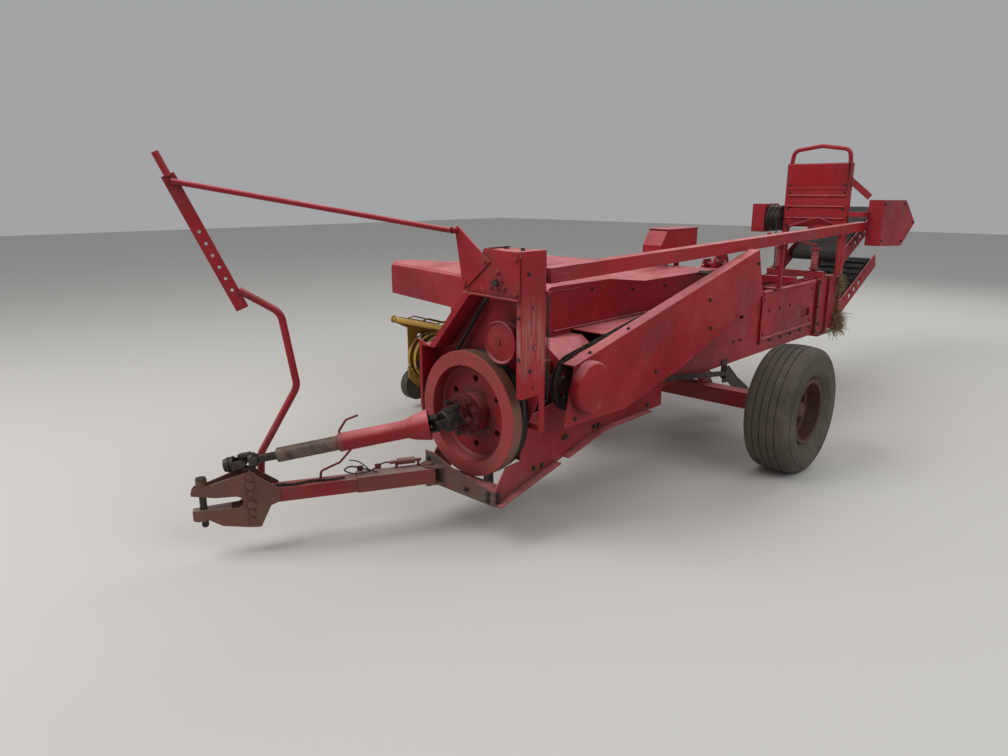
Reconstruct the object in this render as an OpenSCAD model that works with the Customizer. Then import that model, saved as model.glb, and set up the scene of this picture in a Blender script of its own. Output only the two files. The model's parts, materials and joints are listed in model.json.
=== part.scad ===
/* [Running gear] */
// Diameter of both road tyres
tyre_d = 770; // [700:10:840]
// Width of both road tyres
tyre_w = 280; // [240:10:300]
// Diameter of the wheel rims at the bead seat
rim_d = 360; // [340:10:400]
// Left tyre's middle, left of the flywheel's axis
left_wheel_x = 810; // [790:10:850]
// Right tyre's middle, right of the flywheel's axis
right_wheel_x = 1700; // [1680:10:1740]
// Side of the square axle beam
axle_w = 100; // [80:5:110]
// Diameter of the wheel spindles
spindle_d = 50; // [40:2:56]
// Diameter of the pickup's gauge wheel
gauge_d = 240; // [200:10:280]
// Width of the pickup's gauge wheel
gauge_w = 70; // [50:5:80]

/* [Bale case] */
// Inside width of the bale case
case_w = 457; // [440:1:470]
// Inside height of the bale case
case_h = 356; // [340:1:370]
// Height of the bale case's floor above the ground
case_floor_z = 560; // [550:5:580]
// Thickness of the bale case's sheets
case_t = 6; // [4:1:8]
// Depth of the rails under the floor and over the roof
rail_h = 48; // [40:2:56]
// Rear end of the bale case, behind the axle
case_rear = 2270; // [2200:10:2400]
// Front end of the bale case, ahead of the axle
case_front = 1140; // [1100:10:1200]

/* [Front frame and tongue] */
// Front face of the front beam, ahead of the axle
beam_front = 1980; // [1960:5:2020]
// Depth of the front beam, front to back
beam_d = 80; // [60:5:90]
// Height of the front beam
beam_h = 75; // [66:1:78]
// Underside of the front beam above the ground
beam_z = 213; // [205:1:220]
// Thickness of the two frame plates
frame_t = 8; // [6:1:12]
// Swing of the tongue to the right, in degrees
tongue_swing = 28; // [22:1:30]
// Tongue's pivot, right of the flywheel's axis
tongue_pivot_x = 160; // [140:5:170]
// Width of the tongue's box section
tongue_w = 84; // [78:2:90]
// Height of the tongue's box section
tongue_h = 72; // [64:2:76]
// Underside of the tongue above the ground
tongue_z = 240; // [236:1:250]
// Length of the tongue's box from the beam to the hitch
tongue_len = 849; // [830:5:870]
// Length of the hitch plates ahead of the tongue's box
jaw_len = 292; // [280:4:310]
// Gap between the hitch jaws, for a drawbar
jaw_gap = 58; // [50:2:60]
// Diameter of the hole through the hitch jaws
hitch_hole_d = 33; // [30:1:36]

/* [Drive] */
// Height of the flywheel's axis above the ground
drive_z = 606; // [600:2:612]
// Outer diameter of the flywheel
flywheel_d = 620; // [590:10:625]
// Front face of the flywheel, ahead of the axle
flywheel_front = 1922; // [1916:2:1928]
// Width of the flywheel's cast rim
flywheel_rim_w = 62; // [56:2:66]
// Width of the belt groove behind the rim
belt_w = 50; // [40:5:56]
// Diameter of the shaft behind the flywheel
drive_shaft_d = 60; // [50:2:66]
// Side of the long square drive tube over the case
drive_tube_w = 72; // [60:4:80]
// Wall of the long square drive tube
drive_tube_t = 5; // [3:1:8]
// Length of the driveline between its joint centres
driveline_len = 890; // [870:5:895]
// Outer diameter of the driveline's guard tube
guard_d = 86; // [80:2:92]

/* [Feeder and pickup] */
// Right end of the hood, right of the flywheel's axis
hood_right = 1750; // [1740:5:1800]
// Front face of the hood at its left end, ahead of the axle
hood_front = 1360; // [1340:5:1380]
// Rear edge of the hood, behind the axle
hood_rear = 520; // [480:10:540]
// Crown of the hood above the ground, at its left end
hood_top_z = 1165; // [1150:5:1180]
// Height of the hood's front face under its rounded edge
hood_face_h = 180; // [170:5:190]
// How far the hood's front is turned from square, in degrees
hood_skew = 12; // [10:0.5:14]
// Width of the pickup between its side plates
pickup_w = 1480; // [1400:10:1500]
// Pickup reel's axis, ahead of the axle
reel_front = 640; // [630:5:650]
// Height of the pickup reel's axis
reel_z = 412; // [405:1:420]
// Radius of the reel at its tine tips
reel_r = 225; // [215:5:230]
// Number of tine bars on the reel
reel_bars = 4; // [3:1:5]
// Number of tine rows across the reel
tine_rows = 18; // [12:1:20]

/* [Thrower] */
// Front face of the thrower's frame, behind the axle
thrower_front = 2330; // [2320:10:2400]
// Length of the thrower's belts
thrower_len = 980; // [940:10:1000]
// Width of the thrower's belts
thrower_belt_w = 400; // [360:10:420]
// Diameter of the wagon hitch's hole
wagon_hole_d = 26; // [22:1:30]
// Slope of the thrower's belts in degrees
thrower_slope = 24; // [20:1:28]

/* [Hidden] */
// Facets on round parts
$fn = 48;

// Plain helpers: blocks, profiles pushed along an axis, round rods and box bars between two points
module slab(a, b) {
    translate([min(a.x, b.x), min(a.y, b.y), min(a.z, b.z)])
        cube([abs(b.x - a.x), abs(b.y - a.y), abs(b.z - a.z)]);
}
// The child is drawn in (Y, Z) and runs from x to x + len
module along_x(x, len) { translate([x, 0, 0]) rotate([90, 0, 90]) linear_extrude(len) children(); }
// The child is drawn in (X, Z) and runs from y to y + len
module along_y(y, len) { translate([0, y + len, 0]) rotate([90, 0, 0]) linear_extrude(len) children(); }
// The child is drawn in (X, Y) and runs from z to z + len
module along_z(z, len) { translate([0, 0, z]) linear_extrude(len) children(); }
// The child stands at p with its +Z towards q
module aim(p, q) {
    v = q - p;
    translate(p) rotate([0, atan2(norm([v.x, v.y]), v.z), atan2(v.y, v.x)]) children();
}
module rod(p, q, d) { aim(p, q) cylinder(d = d, h = norm(q - p)); }
module pipe(p, q, d, bore) {
    difference() {
        rod(p, q, d);
        aim(p, q) translate([0, 0, -1]) cylinder(d = bore, h = norm(q - p) + 2);
    }
}
// w is level, h is upright
module bar(p, q, w, h) { aim(p, q) translate([-h / 2, -w / 2, 0]) cube([h, w, norm(q - p)]); }
// A round rod along a path, with a bend of radius r at each inner point
function unit(v) = v / norm(v);
function bend(a, p, b, r, n) =
    let (u = unit(p - a), v = unit(b - p), turn = acos(u * v), cut = r * tan(turn / 2),
        inward = unit(v - u * (u * v)), at = p - u * cut + inward * r)
    [for (i = [0:n]) at + r * (u * sin(turn * i / n) - inward * cos(turn * i / n))];
function bent_path(pts, r, n) = concat([pts[0]],
    [for (i = [1:len(pts) - 2]) each bend(pts[i - 1], pts[i], pts[i + 1], r, n)], [pts[len(pts) - 1]]);
module bent_rod(pts, d, r, sides = 12, steps = 5) {
    path = bent_path(pts, r, steps);
    last = len(path) - 1;
    lean = unit(cross(pts[1] - pts[0], pts[2] - pts[1]));
    rings = [for (i = [0:last]) let (
            t = unit(path[min(i + 1, last)] - path[max(i - 1, 0)]), y = unit(cross(t, lean)), x = cross(y,
                t))
        for (k = [0:sides - 1]) path[i] + d / 2 * (x * cos(k * 360 / sides) + y * sin(k * 360 / sides))];
    polyhedron(rings, concat(
        [[for (k = [0:sides - 1]) k]],
        [for (i = [0:last - 1], k = [0:sides - 1]) let (j = (k + 1) % sides, o = i * sides)
            [o + k, o + sides + k, o + sides + j, o + j]],
        [[for (k = [sides - 1:-1:0]) last * sides + k]]));
}
// A ring turned about the X axis, its profile drawn in (radius, X)
module turn_x(p) { translate(p) rotate([90, 0, 90]) rotate_extrude() children(); }
// A ring turned about the Y axis, its profile drawn in (radius, Y)
module turn_y(p) { translate(p) rotate([-90, 0, 0]) rotate_extrude() children(); }
// Machine frame: X left of the flywheel's axis, Y behind the axle, Z above the ground
module at_home() { translate([home_x, home_y, 0]) children(); }
// Tongue's own frame: -Y along the tongue from the beam to the hitch, X to its left
module at_tongue() {
    at_home() translate([-tongue_pivot_x, -beam_front, 0]) rotate([0, 0, -tongue_swing]) children();
}
// A hexagon nut or bolt head on the X axis, from x to x + h
module nut_x(p, af, h) { translate(p) rotate([0, 90, 0]) cylinder(d = af / cos(30), h = h, $fn = 6); }
// The same on the Y axis
module nut_y(p, af, h) { translate(p) rotate([-90, 0, 0]) cylinder(d = af / cos(30), h = h, $fn = 6); }

// Clearances
touch = 0.3;
run = 0.07;
// Axle and wheels
axle_z = tyre_d / 2;
wheel_bore = spindle_d + 2 * run;
hub_r = 64;
dish_in = 18;
left_beam_end = left_wheel_x - tyre_w / 2 - 30;
right_beam_end = -(right_wheel_x - tyre_w / 2 - 30);
// Bale case planes
case_in = case_w / 2;
case_out = case_in + case_t;
case_roof_z = case_floor_z + case_h;
rail_low = case_floor_z - rail_h;
rail_high = case_roof_z + rail_h;
roof_top = case_roof_z + case_t;
plate_out = case_out + frame_t;
beam_rear = beam_front - beam_d;
// Middles of the two knotters across the case, and the rear end of their frame
knotters = [-110, 110];
knotter_y = 900;
// Rear face of the belt tower and its channel
tower_back = -1785;
// Left edge of the bay in the feeder for the right wheel
wheel_bay = -right_wheel_x + tyre_w / 2 + 25;
// Pickup and gauge wheel
pickup_left = -330;
pickup_t = 8;
pickup_right = pickup_left - pickup_w;
gauge_x = pickup_right - pickup_t - 12 - gauge_w / 2;
gauge_low = 65;
pivot_y = -460;
pivot_z = 590;
pivot_d = 20;
pivot_lug_w = 16;
pivot_lugs = [pickup_left - 36, 2 - hood_right];
floor_front = -425;
plate_front = -805;
stripper_r = 176;
stripper_reach = 160;
reel_shaft_d = 40;
// Thrower and rear guard
thrower_x = -60;
thrower_gap = 480;
function thrower_at(along, up, level) = [
    thrower_front + 110 + along * cos(thrower_slope) - up * sin(thrower_slope),
    600 + level + along * sin(thrower_slope) + up * cos(thrower_slope)];
rear_guard_end = 3406;
jaw_tip = tongue_len + jaw_len;
// Hitch plates and their bend, in the tongue's own frame
plate_t = 8;
plate_bend_y = -tongue_len - 66;
plate_bend = 7.5;
nose_half = tongue_w / 2 + plate_t - (jaw_tip + plate_bend_y) * tan(plate_bend);
function from_tongue(p) = [
    -tongue_pivot_x + p.x * cos(tongue_swing) + p.y * sin(tongue_swing),
    -beam_front - p.x * sin(tongue_swing) + p.y * cos(tongue_swing), p.z];
front_edge = -from_tongue([nose_half, -jaw_tip, 0]).y;
home_x = -(left_wheel_x + tyre_w / 2 + gauge_x - gauge_w / 2) / 2;
home_y = (front_edge - max(rear_guard_end, thrower_at(thrower_len + 20, -65, 0).x)) / 2;
// Driveline: rear joint, front joint and its line
joint_y = -2125;
coupling_len = 85;
line_start = [0, joint_y, drive_z];
line_aim = from_tongue([0, -tongue_len - 94, 440]);
line_dir = (line_aim - line_start) / norm(line_aim - line_start);
line_end = line_start + line_dir * driveline_len;
collar_r = 30;
// Jaws and pin, in the tongue's own frame
pin_y = 47 - jaw_tip;
slot_low = tongue_z - 2;
slot_high = slot_low + jaw_gap;
pin_top = 380;
// Long tube over the case, from the tower to the rear guard
tower_shaft_d = 30;
tube_a = [247, -1950, 1263];
tube_b = [300, 2459.2, 1360];
// Control lever, in the tongue's own frame
lever_x = -69;
lever_top = [lever_x, -1084, 1690];
// Twine box
twine_low = 1190;
twine_top = 1385;
twine_left = -300;
twine_right = -450;
lid_hinge = [twine_right - 8, 545, twine_top + 4.4];
// Stand leg
leg_x = -plate_out - 26;
leg_y = -1500;
leg_w = 40;

module main_frame() {
    sleeve = leg_w / 2 + 6;
    lip = 40;
    ear_t = 10;
    ear_z = [tongue_z - ear_t, tongue_z + tongue_h + 6];
    at_home() color("firebrick") {
        for (side = [0, 1]) mirror([side, 0, 0]) {
            along_x(case_out, frame_t) polygon([
                [-beam_front + frame_t, beam_z], [-case_front, 403], [-540, 405], [-540, 600],
                [-case_front, 660], [-1500, 640], [-1793, 590], [-1793, 391], [-1895, 388],
                [-beam_front + frame_t, beam_z + beam_h]]);
            // Bottom lip turned outwards along the lower edge
            difference() {
                along_x(plate_out - 2, lip) polygon([[-beam_front + frame_t, beam_z], [-case_front, 403],
                    [-700, 404],
                    [-700, 410], [-case_front - 4, 409], [-beam_front + frame_t, beam_z + 6]]);
                slab([plate_out + 2, leg_y - 30, 0], [plate_out + 99, leg_y + 30, 900]);
            }
        }
        // Front beam: a channel, its upright front plate rising to the right
        along_y(-beam_front, frame_t) polygon([[-plate_out, beam_z], [plate_out, beam_z],
            [plate_out, beam_z + beam_h],
            [180, beam_z + beam_h], [-60, 335], [-190, 376], [-plate_out, 376]]);
        slab([-case_out - 2, -beam_front + 2, beam_z], [case_out + 2, -beam_rear, beam_z + frame_t]);
        slab([-case_out - 2, -beam_front + 2, beam_z + beam_h - frame_t],
            [case_out + 2, -beam_rear, beam_z + beam_h]);
        for (y = [-1480, -1230]) slab([-case_out, y, 400], [case_out, y + 80, 460]);
        difference() {
            slab([-plate_out, leg_y - sleeve, 420], [leg_x - sleeve, leg_y + sleeve, 560]);
            slab([leg_x - leg_w / 2 - touch, leg_y - leg_w / 2 - touch, 0],
                [leg_x + leg_w / 2 + touch, leg_y + leg_w / 2 + touch, 900]);
        }
        // Ears and pin that hold the tongue
        for (z = ear_z) along_z(z, ear_t) polygon([[-tongue_pivot_x - 75, -beam_front + 4],
            [-tongue_pivot_x - 52, -beam_front - 66], [-tongue_pivot_x + 8, -beam_front - 66],
            [-tongue_pivot_x + 75, -beam_front + 4]]);
        translate([0, 0, tongue_z - 26]) at_ear() cylinder(d = 30, h = tongue_h + 52);
        translate([0, 0, ear_z[1] + ear_t - 1]) at_ear() cylinder(d = 50, h = 9);
    }
}
// The tongue's pivot pin, in the machine's frame
module at_ear() {
    p = from_tongue([0, -40, 0]);
    translate([p.x, p.y, 0]) children();
}

module tongue() {
    half = tongue_w / 2;
    sleeve = 399;
    top = tongue_z + tongue_h;
    at_tongue() color("firebrick") {
        difference() {
            union() {
                // Front box slides in the rear sleeve
                box_tube(half, tongue_z + 3, top - 3, -tongue_len, -sleeve + 40, 6);
                box_tube(half + 4, tongue_z, top + 4, -sleeve, -16, 6);
                translate([0, -40, tongue_z]) cylinder(d = 56, h = tongue_h + 6);
            }
            translate([0, -40, 0]) cylinder(d = 30 + 2 * touch, h = 900);
            // Clears the beam behind the pivot
            rotate([0, 0, tongue_swing]) slab([-300, -2, 0], [300, 300, 900]);
        }
        // Latch cylinder on two lugs
        for (y = [-196, -86]) slab([-36, y - 6, top - 1], [-24, y + 6, top + 42]);
        rod([-30, -190, top + 36], [-30, -104, top + 36], 34);
        rod([-30, -110, top + 36], [-30, -70, top + 36], 16);
        rod([-30, -228, top + 36], [-30, -186, top + 36], 18);
        // Two straps over the sleeve's seam, and the wire hook that holds the hoses
        for (y = [-388, -300]) slab([-half - 8, y, top - 30], [-half - 3, y + 30, top + 30]);
        bent_rod([[-30, -566, top - 6], [-30, -560, 345], [-30, -469, 379], [-30, -412, 440],
            [-30, -410, 490], [-30, -471, 530],
            [-30, -430, 590], [-30, -372, 608]], 12, 14, 8, 2);
    }
}
// A square tube along Y with a wall of t, half wide, from z0 up to z1
module box_tube(half, z0, z1, y0, y1, t) {
    along_y(y0, y1 - y0) difference() {
        translate([-half, z0]) square([2 * half, z1 - z0]);
        translate([t - half, z0 + t]) square([2 * (half - t), z1 - z0 - 2 * t]);
    }
}

module hitch_clevis() {
    back = -tongue_len;
    half = tongue_w / 2;
    reach = jaw_tip + 40 + plate_bend_y;
    at_tongue() color("sienna") difference() {
        union() {
            // Side plates, bent inwards ahead of the box
            for (s = [0, 1]) mirror([s, 0, 0]) intersection() {
                along_x(-5, half + 60) difference() {
                    polygon([[back + 91, 250], [back + 91, 315], [back, 382], [back - 13, 402],
                        [back - 42, 408],
                        [pin_y + 10, 352], [-jaw_tip + 13, 346], [-jaw_tip, 330], [-jaw_tip, 190],
                        [-jaw_tip + 26, 183], [pin_y + 5, 200], [back - 169, 157], [back - 19, 135],
                            [back, 135],
                        [back + 49, 234]]);
                    polygon([[-jaw_tip - 5, slot_low], [back - 100, slot_low], [back - 100, slot_high],
                        [back - 191, slot_high], [-jaw_tip - 5, slot_high + 17]]);
                    translate([back - 100, slot_low + jaw_gap / 2]) circle(d = jaw_gap);
                }
                along_z(100, 400) polygon([[half, back + 100], [half, plate_bend_y],
                    [half - reach * tan(plate_bend), plate_bend_y - reach],
                    [half + plate_t - reach * tan(plate_bend), plate_bend_y - reach],
                    [half + plate_t, plate_bend_y], [half + plate_t, back + 100]]);
            }
            // Lower and upper jaw between the plates
            along_z(slot_low - 16, 16) jaw_plan();
            along_z(slot_high + 18, 14) jaw_plan();
            translate([0, pin_y, 186]) cylinder(d = 58, h = slot_low - 187);
            translate([0, pin_y, slot_high + 18]) cylinder(d = 50, h = pin_top - slot_high - 18);
            for (z = [174, 215, 305, 380]) bolt_row(z, 16, 24);
            for (z = [253, 343]) bolt_row(z, 24, 36);
        }
        translate([0, pin_y, 0]) cylinder(d = hitch_hole_d, h = 900);
    }
}
// Filling between the hitch plates at the nose
module jaw_plan() {
    rear = pin_y + 120;
    wide = tongue_w / 2 + 1 + (rear - plate_bend_y) * tan(plate_bend);
    tip = tongue_w / 2 + 1 - (jaw_tip - 2 + plate_bend_y) * tan(plate_bend);
    polygon([[-wide, rear], [wide, rear], [tip, -jaw_tip + 2], [-tip, -jaw_tip + 2]]);
}
// A bolt through both hitch plates, d across and its heads af across the flats
module bolt_row(z, d, af) {
    out = tongue_w / 2 + plate_t;
    y = -tongue_len - 36;
    rod([-out - 1, y, z], [out + 1, y, z], d);
    nut_x([out - 1, y, z], af, 10);
    nut_x([-out - 9, y, z], af, 10);
}

module hitch_pin() {
    r = hitch_hole_d / 2 - 0.5;
    at_tongue() color("dimgray") translate([0, pin_y, 0]) {
        rotate_extrude() polygon([[0, 150], [r - 4, 150], [r, 158], [r, pin_top], [23, pin_top],
            [23, pin_top + 9],
            [0, pin_top + 9]]);
        rod([4, 1, pin_top + 4.5], [52, 14, pin_top + 4.5], 7);
    }
}

module stand_leg() {
    at_home() color("dimgray") translate([leg_x, leg_y, 0]) {
        slab([-leg_w / 2, -leg_w / 2, 8], [leg_w / 2, leg_w / 2, 640]);
        cylinder(d = 150, h = 10);
    }
}

module control_lever() {
    foot = [lever_x, -839, 293];
    top = tongue_z + tongue_h;
    at_tongue() color("firebrick") {
        bent_rod([foot, [lever_x, -826, 455], [lever_x, -641, 765], [lever_x, -690, 1115],
            [lever_x, -860, 1224]], 34, 80);
        difference() {
            bar([lever_x, -851, 1140], [lever_x, -1099, 1717], 10, 56);
            for (i = [0:5]) rod([lever_x - 20, -888 - 22 * i, 1226 + 51 * i],
                [lever_x + 20, -888 - 22 * i, 1226 + 51 * i], 14);
        }
        rod([lever_x, -1096, 1710], [lever_x, -1138, 1808], 30);
        // Foot bracket bolted to the right hitch plate
        slab([lever_x - 26, -872, 268], [-tongue_w / 2 - plate_t, -806, 300]);
    }
}

module control_rod() {
    eye = from_tongue([lever_x + 19, lever_top.y, lever_top.z]);
    at_home() color("firebrick") {
        rod(eye, [-13, -1996, 1480], 24);
        rod(eye, from_tongue([lever_x + 5, lever_top.y, lever_top.z]), 22);
    }
}

module clutch_bracket() {
    at_home() color("firebrick") {
        along_y(-1963, 8) polygon([[-14, 1490], [4, 1500], [206, 1351], [37, 1213]]);
        rod([-10, -1960, 1480], [-10, -1987, 1480], 30);
        for (p = [[174, 1351], [45, 1240]]) nut_y([p.x, -1971, p.y], 19, 10);
    }
}

module driveline_shaft() {
    fork = driveline_len - 50;
    bare = driveline_len - 150;
    bore = 34.9;
    at_home() color("dimgray") aim(line_start, line_end) {
        for (s = [0, 180]) rotate([0, 0, s]) yoke_arm(92, 22);
        rotate_extrude() polygon([[0, 80], [42, 80], [42, 92], [30, 100], [22, 100], [22, bare], [0, bare]]);
        translate([-15, -15, bare - 1]) cube([30, 30, 102]);
        rotate_extrude() polygon([[0, fork - 20], [24, fork - 20], [36, fork], [36, fork + 18],
            [0, fork + 18]]);
        translate([0, 0, driveline_len]) {
            for (s = [0, 180]) rotate([0, 0, s]) mirror([0, 0, 1]) yoke_arm(40, 18);
            for (a = [[0, 90, 0], [90, 0, 0]]) rotate(a) cylinder(d = 20, h = 78, center = true);
            cube([26, 26, 26], center = true);
            for (s = [90, 270]) rotate([0, 0, s]) yoke_arm(45, 18);
            rotate_extrude() polygon([[bore / 2, 40], [36, 40], [36, 52], [collar_r, 52], [collar_r, 58],
                [collar_r + 5, 60], [collar_r + 5, 72], [collar_r, 74], [collar_r, coupling_len],
                    [bore / 2, coupling_len]]);
        }
    }
}
// One arm of a joint's yoke: rounded eye round the cross pin, up to z
module yoke_arm(z, half) {
    translate([26, 0, 0]) rotate([0, 90, 0]) cylinder(r = half, h = 12);
    slab([26, -half, 0], [38, half, z]);
}

module driveline_guard() {
    thick_end = driveline_len - 445;
    tube_end = driveline_len - 160;
    r = guard_d / 2;
    thin = r - 9;
    at_home() color("firebrick") aim(line_start, line_end) rotate_extrude() {
        polygon([[r, 130], [r, thick_end], [thin, thick_end], [thin, tube_end], [thin - 4, tube_end],
            [thin - 4, thick_end - 8], [r - 4, thick_end - 8], [r - 4, 130], [54, 92], [68, 22], [74, 22],
                [58, 96]]);
        translate([22 + touch, 160]) square([r - 22 - touch - 2, 14]);
        translate([22 + touch, tube_end - 14]) square([thin - 22 - touch - 2, 14]);
    }
}

module flywheel() {
    r = flywheel_d / 2;
    front = -flywheel_front;
    rim_back = front + flywheel_rim_w;
    belt_back = rim_back + belt_w;
    web = front + 66;
    at_home() color("firebrick") difference() {
        turn_y([0, 0, drive_z]) {
            polygon([[r - 70, front], [r - 3, front], [r, front + 3], [r, rim_back], [r - 8, rim_back],
                [r - 26, rim_back + 16], [r - 26, belt_back - 16], [r - 8, belt_back], [r - 50, belt_back],
                [r - 62, web + 14], [r - 88, web + 14], [96, web + 24], [96, web + 2], [r - 92, web],
                [r - 76, web - 10]]);
            translate([0, front + 8]) square([98, belt_back - front - 8]);
            translate([0, front + 8]) square([drive_shaft_d / 2, flywheel_front - 1538]);
        }
        for (a = [30:60:359]) rotate_about_drive(a) translate([165, 0, 0]) rotate([90, 0, 0])
            cylinder(d = 34, h = 260, center = true);
    }
}
module rotate_about_drive(a) {
    translate([0, -flywheel_front + 43, drive_z]) rotate([0, a, 0]) children();
}

module slip_clutch() {
    face = -flywheel_front + 8;
    at_home() color("dimgray") {
        // Hub and drum
        turn_y([0, 0, drive_z]) polygon([[0, joint_y + 45], [40, joint_y + 45], [46, joint_y + 54],
            [46, face - 128],
            [58, face - 126], [60, face - 84], [50, face - 80], [50, face], [0, face]]);
        // Star plates with the friction discs between them
        for (y = [face - 66, face - 38]) along_y(y, 7) translate([0,
            drive_z]) star(y < face - 60 ? 86 : 104);
        turn_y([0, 0, drive_z]) polygon([[48, face - 31], [92, face - 31], [92, face - 26], [100, face - 26],
            [100, face - 12], [92, face - 12], [92, face], [48, face]]);
        for (a = [0:60:359]) translate([0, 0, drive_z]) rotate([0, a, 0]) {
            rod([78, face - 98, 0], [78, face - 1, 0], 10);
            rod([78, face - 92, 0], [78, face - 60, 0], 26);
            nut_y([78, face - 106, 0], 17, 10);
        }
        for (s = [-1, 1]) {
            slab([s * 27, joint_y, drive_z - 20], [s * 39, joint_y + 50, drive_z + 20]);
            translate([s * 27, joint_y, drive_z]) rotate([0, s * 90, 0]) cylinder(r = 20, h = 12);
        }
        translate(line_start) rotate([0, 90, 0]) cylinder(d = 20, h = 90, center = true);
        translate(line_start) cylinder(d = 20, h = 38, center = true);
        translate(line_start) cylinder(d = 9, h = 48, center = true);
        translate(line_start) cube([26, 24, 24], center = true);
    }
}
// A clutch plate with six lobes, r to the lobes' ends
module star(r) {
    difference() {
        union() {
            circle(r = r - 26);
            for (a = [0:60:359]) rotate(a) translate([r - 16, 0]) circle(r = 17);
            for (a = [0:60:359]) rotate(a) translate([0, -17]) square([r - 16, 34]);
        }
        circle(r = 20);
    }
}

module belt_pan() {
    back = -flywheel_front + flywheel_rim_w + belt_w + 12;
    front = -1915;
    low = 395;
    edge = [[20, 1190], [-234, 903], [-325, 800], [-325, low]];
    at_home() color("firebrick") {
        difference() {
            along_y(back, 5) polygon([[20, 1190], [-234, 903], [-325, 903], [-325, low],
                [plate_out, low], [plate_out, 500], [374, 756], [374, 1190]]);
            translate([0, back - 5, drive_z]) rotate([-90, 0, 0]) cylinder(r = 80, h = 30);
        }
        // Rim round the belts, with its front edge turned outwards
        along_y(front, back - front + 5) polygon([[20, 1190], [-234, 903], [-230, 899], [26, 1188]]);
        along_y(front, back - front + 5) polygon([[-330, 905], [-330, low], [-325, low], [-325, 900],
            [-230, 900],
            [-230, 905]]);
        along_y(front, 5) polygon([[20, 1190], [-12, 1194], [-268, 903], [-234, 903]]);
        along_y(front, 5) polygon([[-345, 930], [-345, 600], [-326, 500], [-326, 903], [-268, 903]]);
    }
}

module belt_tower() {
    at_home() color("firebrick") {
        difference() {
            union() {
                along_y(-1955, 6) polygon([[45, 1205], [165, 1409], [375, 1397], [375, 1195]]);
                aim(tube_a, tube_b) translate([0, 0, -12]) cylinder(d = 62, h = 18);
                // Three-bolt bearing flange
                aim(tube_a, tube_b) translate([0, 0, -9]) {
                    linear_extrude(8) for (a = [60, 180, 300]) rotate(a) {
                        translate([44, 0]) circle(d = 28);
                        translate([0, -13]) square([44, 26]);
                    }
                    for (a = [60, 180, 300]) rotate([0, 0, a]) translate([44, 0, -7]) cylinder(d = 16,
                        h = 9);
                }
            }
            aim(tube_a, tube_b) translate([0, 0, -40]) cylinder(d = tower_shaft_d + 2 * run, h = 90);
        }
        along_y(-1951, tower_back + 1949) polygon([[45, 1205], [165, 1409], [165, 1404], [51, 1205]]);
        slab([163, -1951, 1397], [375, tower_back - 5, 1402]);
        // Lip turned forwards along the lower edge, and the web behind it
        along_y(-1972, 19) polygon([[38, 1203], [38, 1208], [375, 1199], [375, 1194]]);
        for (p = [[356, 1370], [356, 1222]]) nut_y([p.x, -1965, p.y], 19, 12);
    }
}

module belt_channel() {
    at_home() color("firebrick") {
        slab([375, -1947, 756], [380, tower_back, 1402]);
        slab([350, -1945, 756], [376, -1940, 1190]);
        slab([350, tower_back - 5, 756], [376, tower_back, 1402]);
        for (z = [800, 980, 1160]) nut_x([379, -1865, z], 17, 8);
        // Strap to the frame plate and hanger for the lever's spring
        slab([375, -1822, 570], [380, -1786, 757]);
        slab([plate_out, -1793, 570], [380, -1786, 600]);
        slab([376, -1787, 1209], [392, -1766, 1221]);
    }
}

module top_sheave() {
    mid = 1950 - flywheel_front + flywheel_rim_w + belt_w / 2;
    at_home() color("dimgray") aim(tube_a, tube_b) rotate_extrude() polygon([[0, -30],
        [tower_shaft_d / 2, -30],
        [tower_shaft_d / 2, mid - 24], [88, mid - 24], [96, mid - 20], [81, mid - 10], [81, mid + 10],
        [96, mid + 20], [88, mid + 24], [tower_shaft_d / 2, mid + 24], [tower_shaft_d / 2, 345], [0, 345]]);
}

module idler_pulley() {
    back = -flywheel_front + flywheel_rim_w + belt_w + 12;
    mid = back - 12 - belt_w / 2;
    at_home() color("firebrick") {
        turn_y([195, 0, 980]) polygon([[0, -1898], [34, -1898], [86, -1886], [96, -1894], [100, -1890],
            [88, mid - 16],
            [78, mid - 12], [78, mid + 12], [88, mid + 16], [25, mid + 18], [25, back], [0, back]]);
        nut_y([195, -1905, 980], 24, 8);
    }
}

module drive_belts() {
    mid = -flywheel_front + flywheel_rim_w + belt_w / 2;
    low = [0, drive_z];
    high = [tube_a.x + 1.2, tube_a.z + 2.8];
    at_home() color("black") along_y(mid - 8, 16) loop(low, high, flywheel_d / 2 - 25, 82, 12);
}

module gearbox() {
    front = -1580;
    at_home() color("firebrick") difference() {
        union() {
            slab([-150, front, 460], [150, -1150, 820]);
            translate([0, front - 20, drive_z]) rotate([-90, 0, 0]) cylinder(r = 75, h = 40);
            // Sloping lid over the crank
            along_y(-1462, 318) polygon([[-150, 810], [-150, 900], [96, 900], [230, 806], [230, 650],
                [150, 650], [150, 810]]);
            for (x = [-130, 130], z = [480, 790]) nut_y([x, front - 10, z], 19, 12);
        }
        translate([0, front - 30, drive_z]) rotate([-90, 0, 0]) cylinder(d = drive_shaft_d + 2 * run,
            h = 90);
    }
}

module plunger() {
    at_home() color("dimgray") {
        slab([-case_in + 6, -560, case_floor_z + 6], [case_in - 6, -380, case_roof_z - 6]);
        bar([0, -1150, 700], [0, -560, 700], 60, 90);
    }
}

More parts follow.
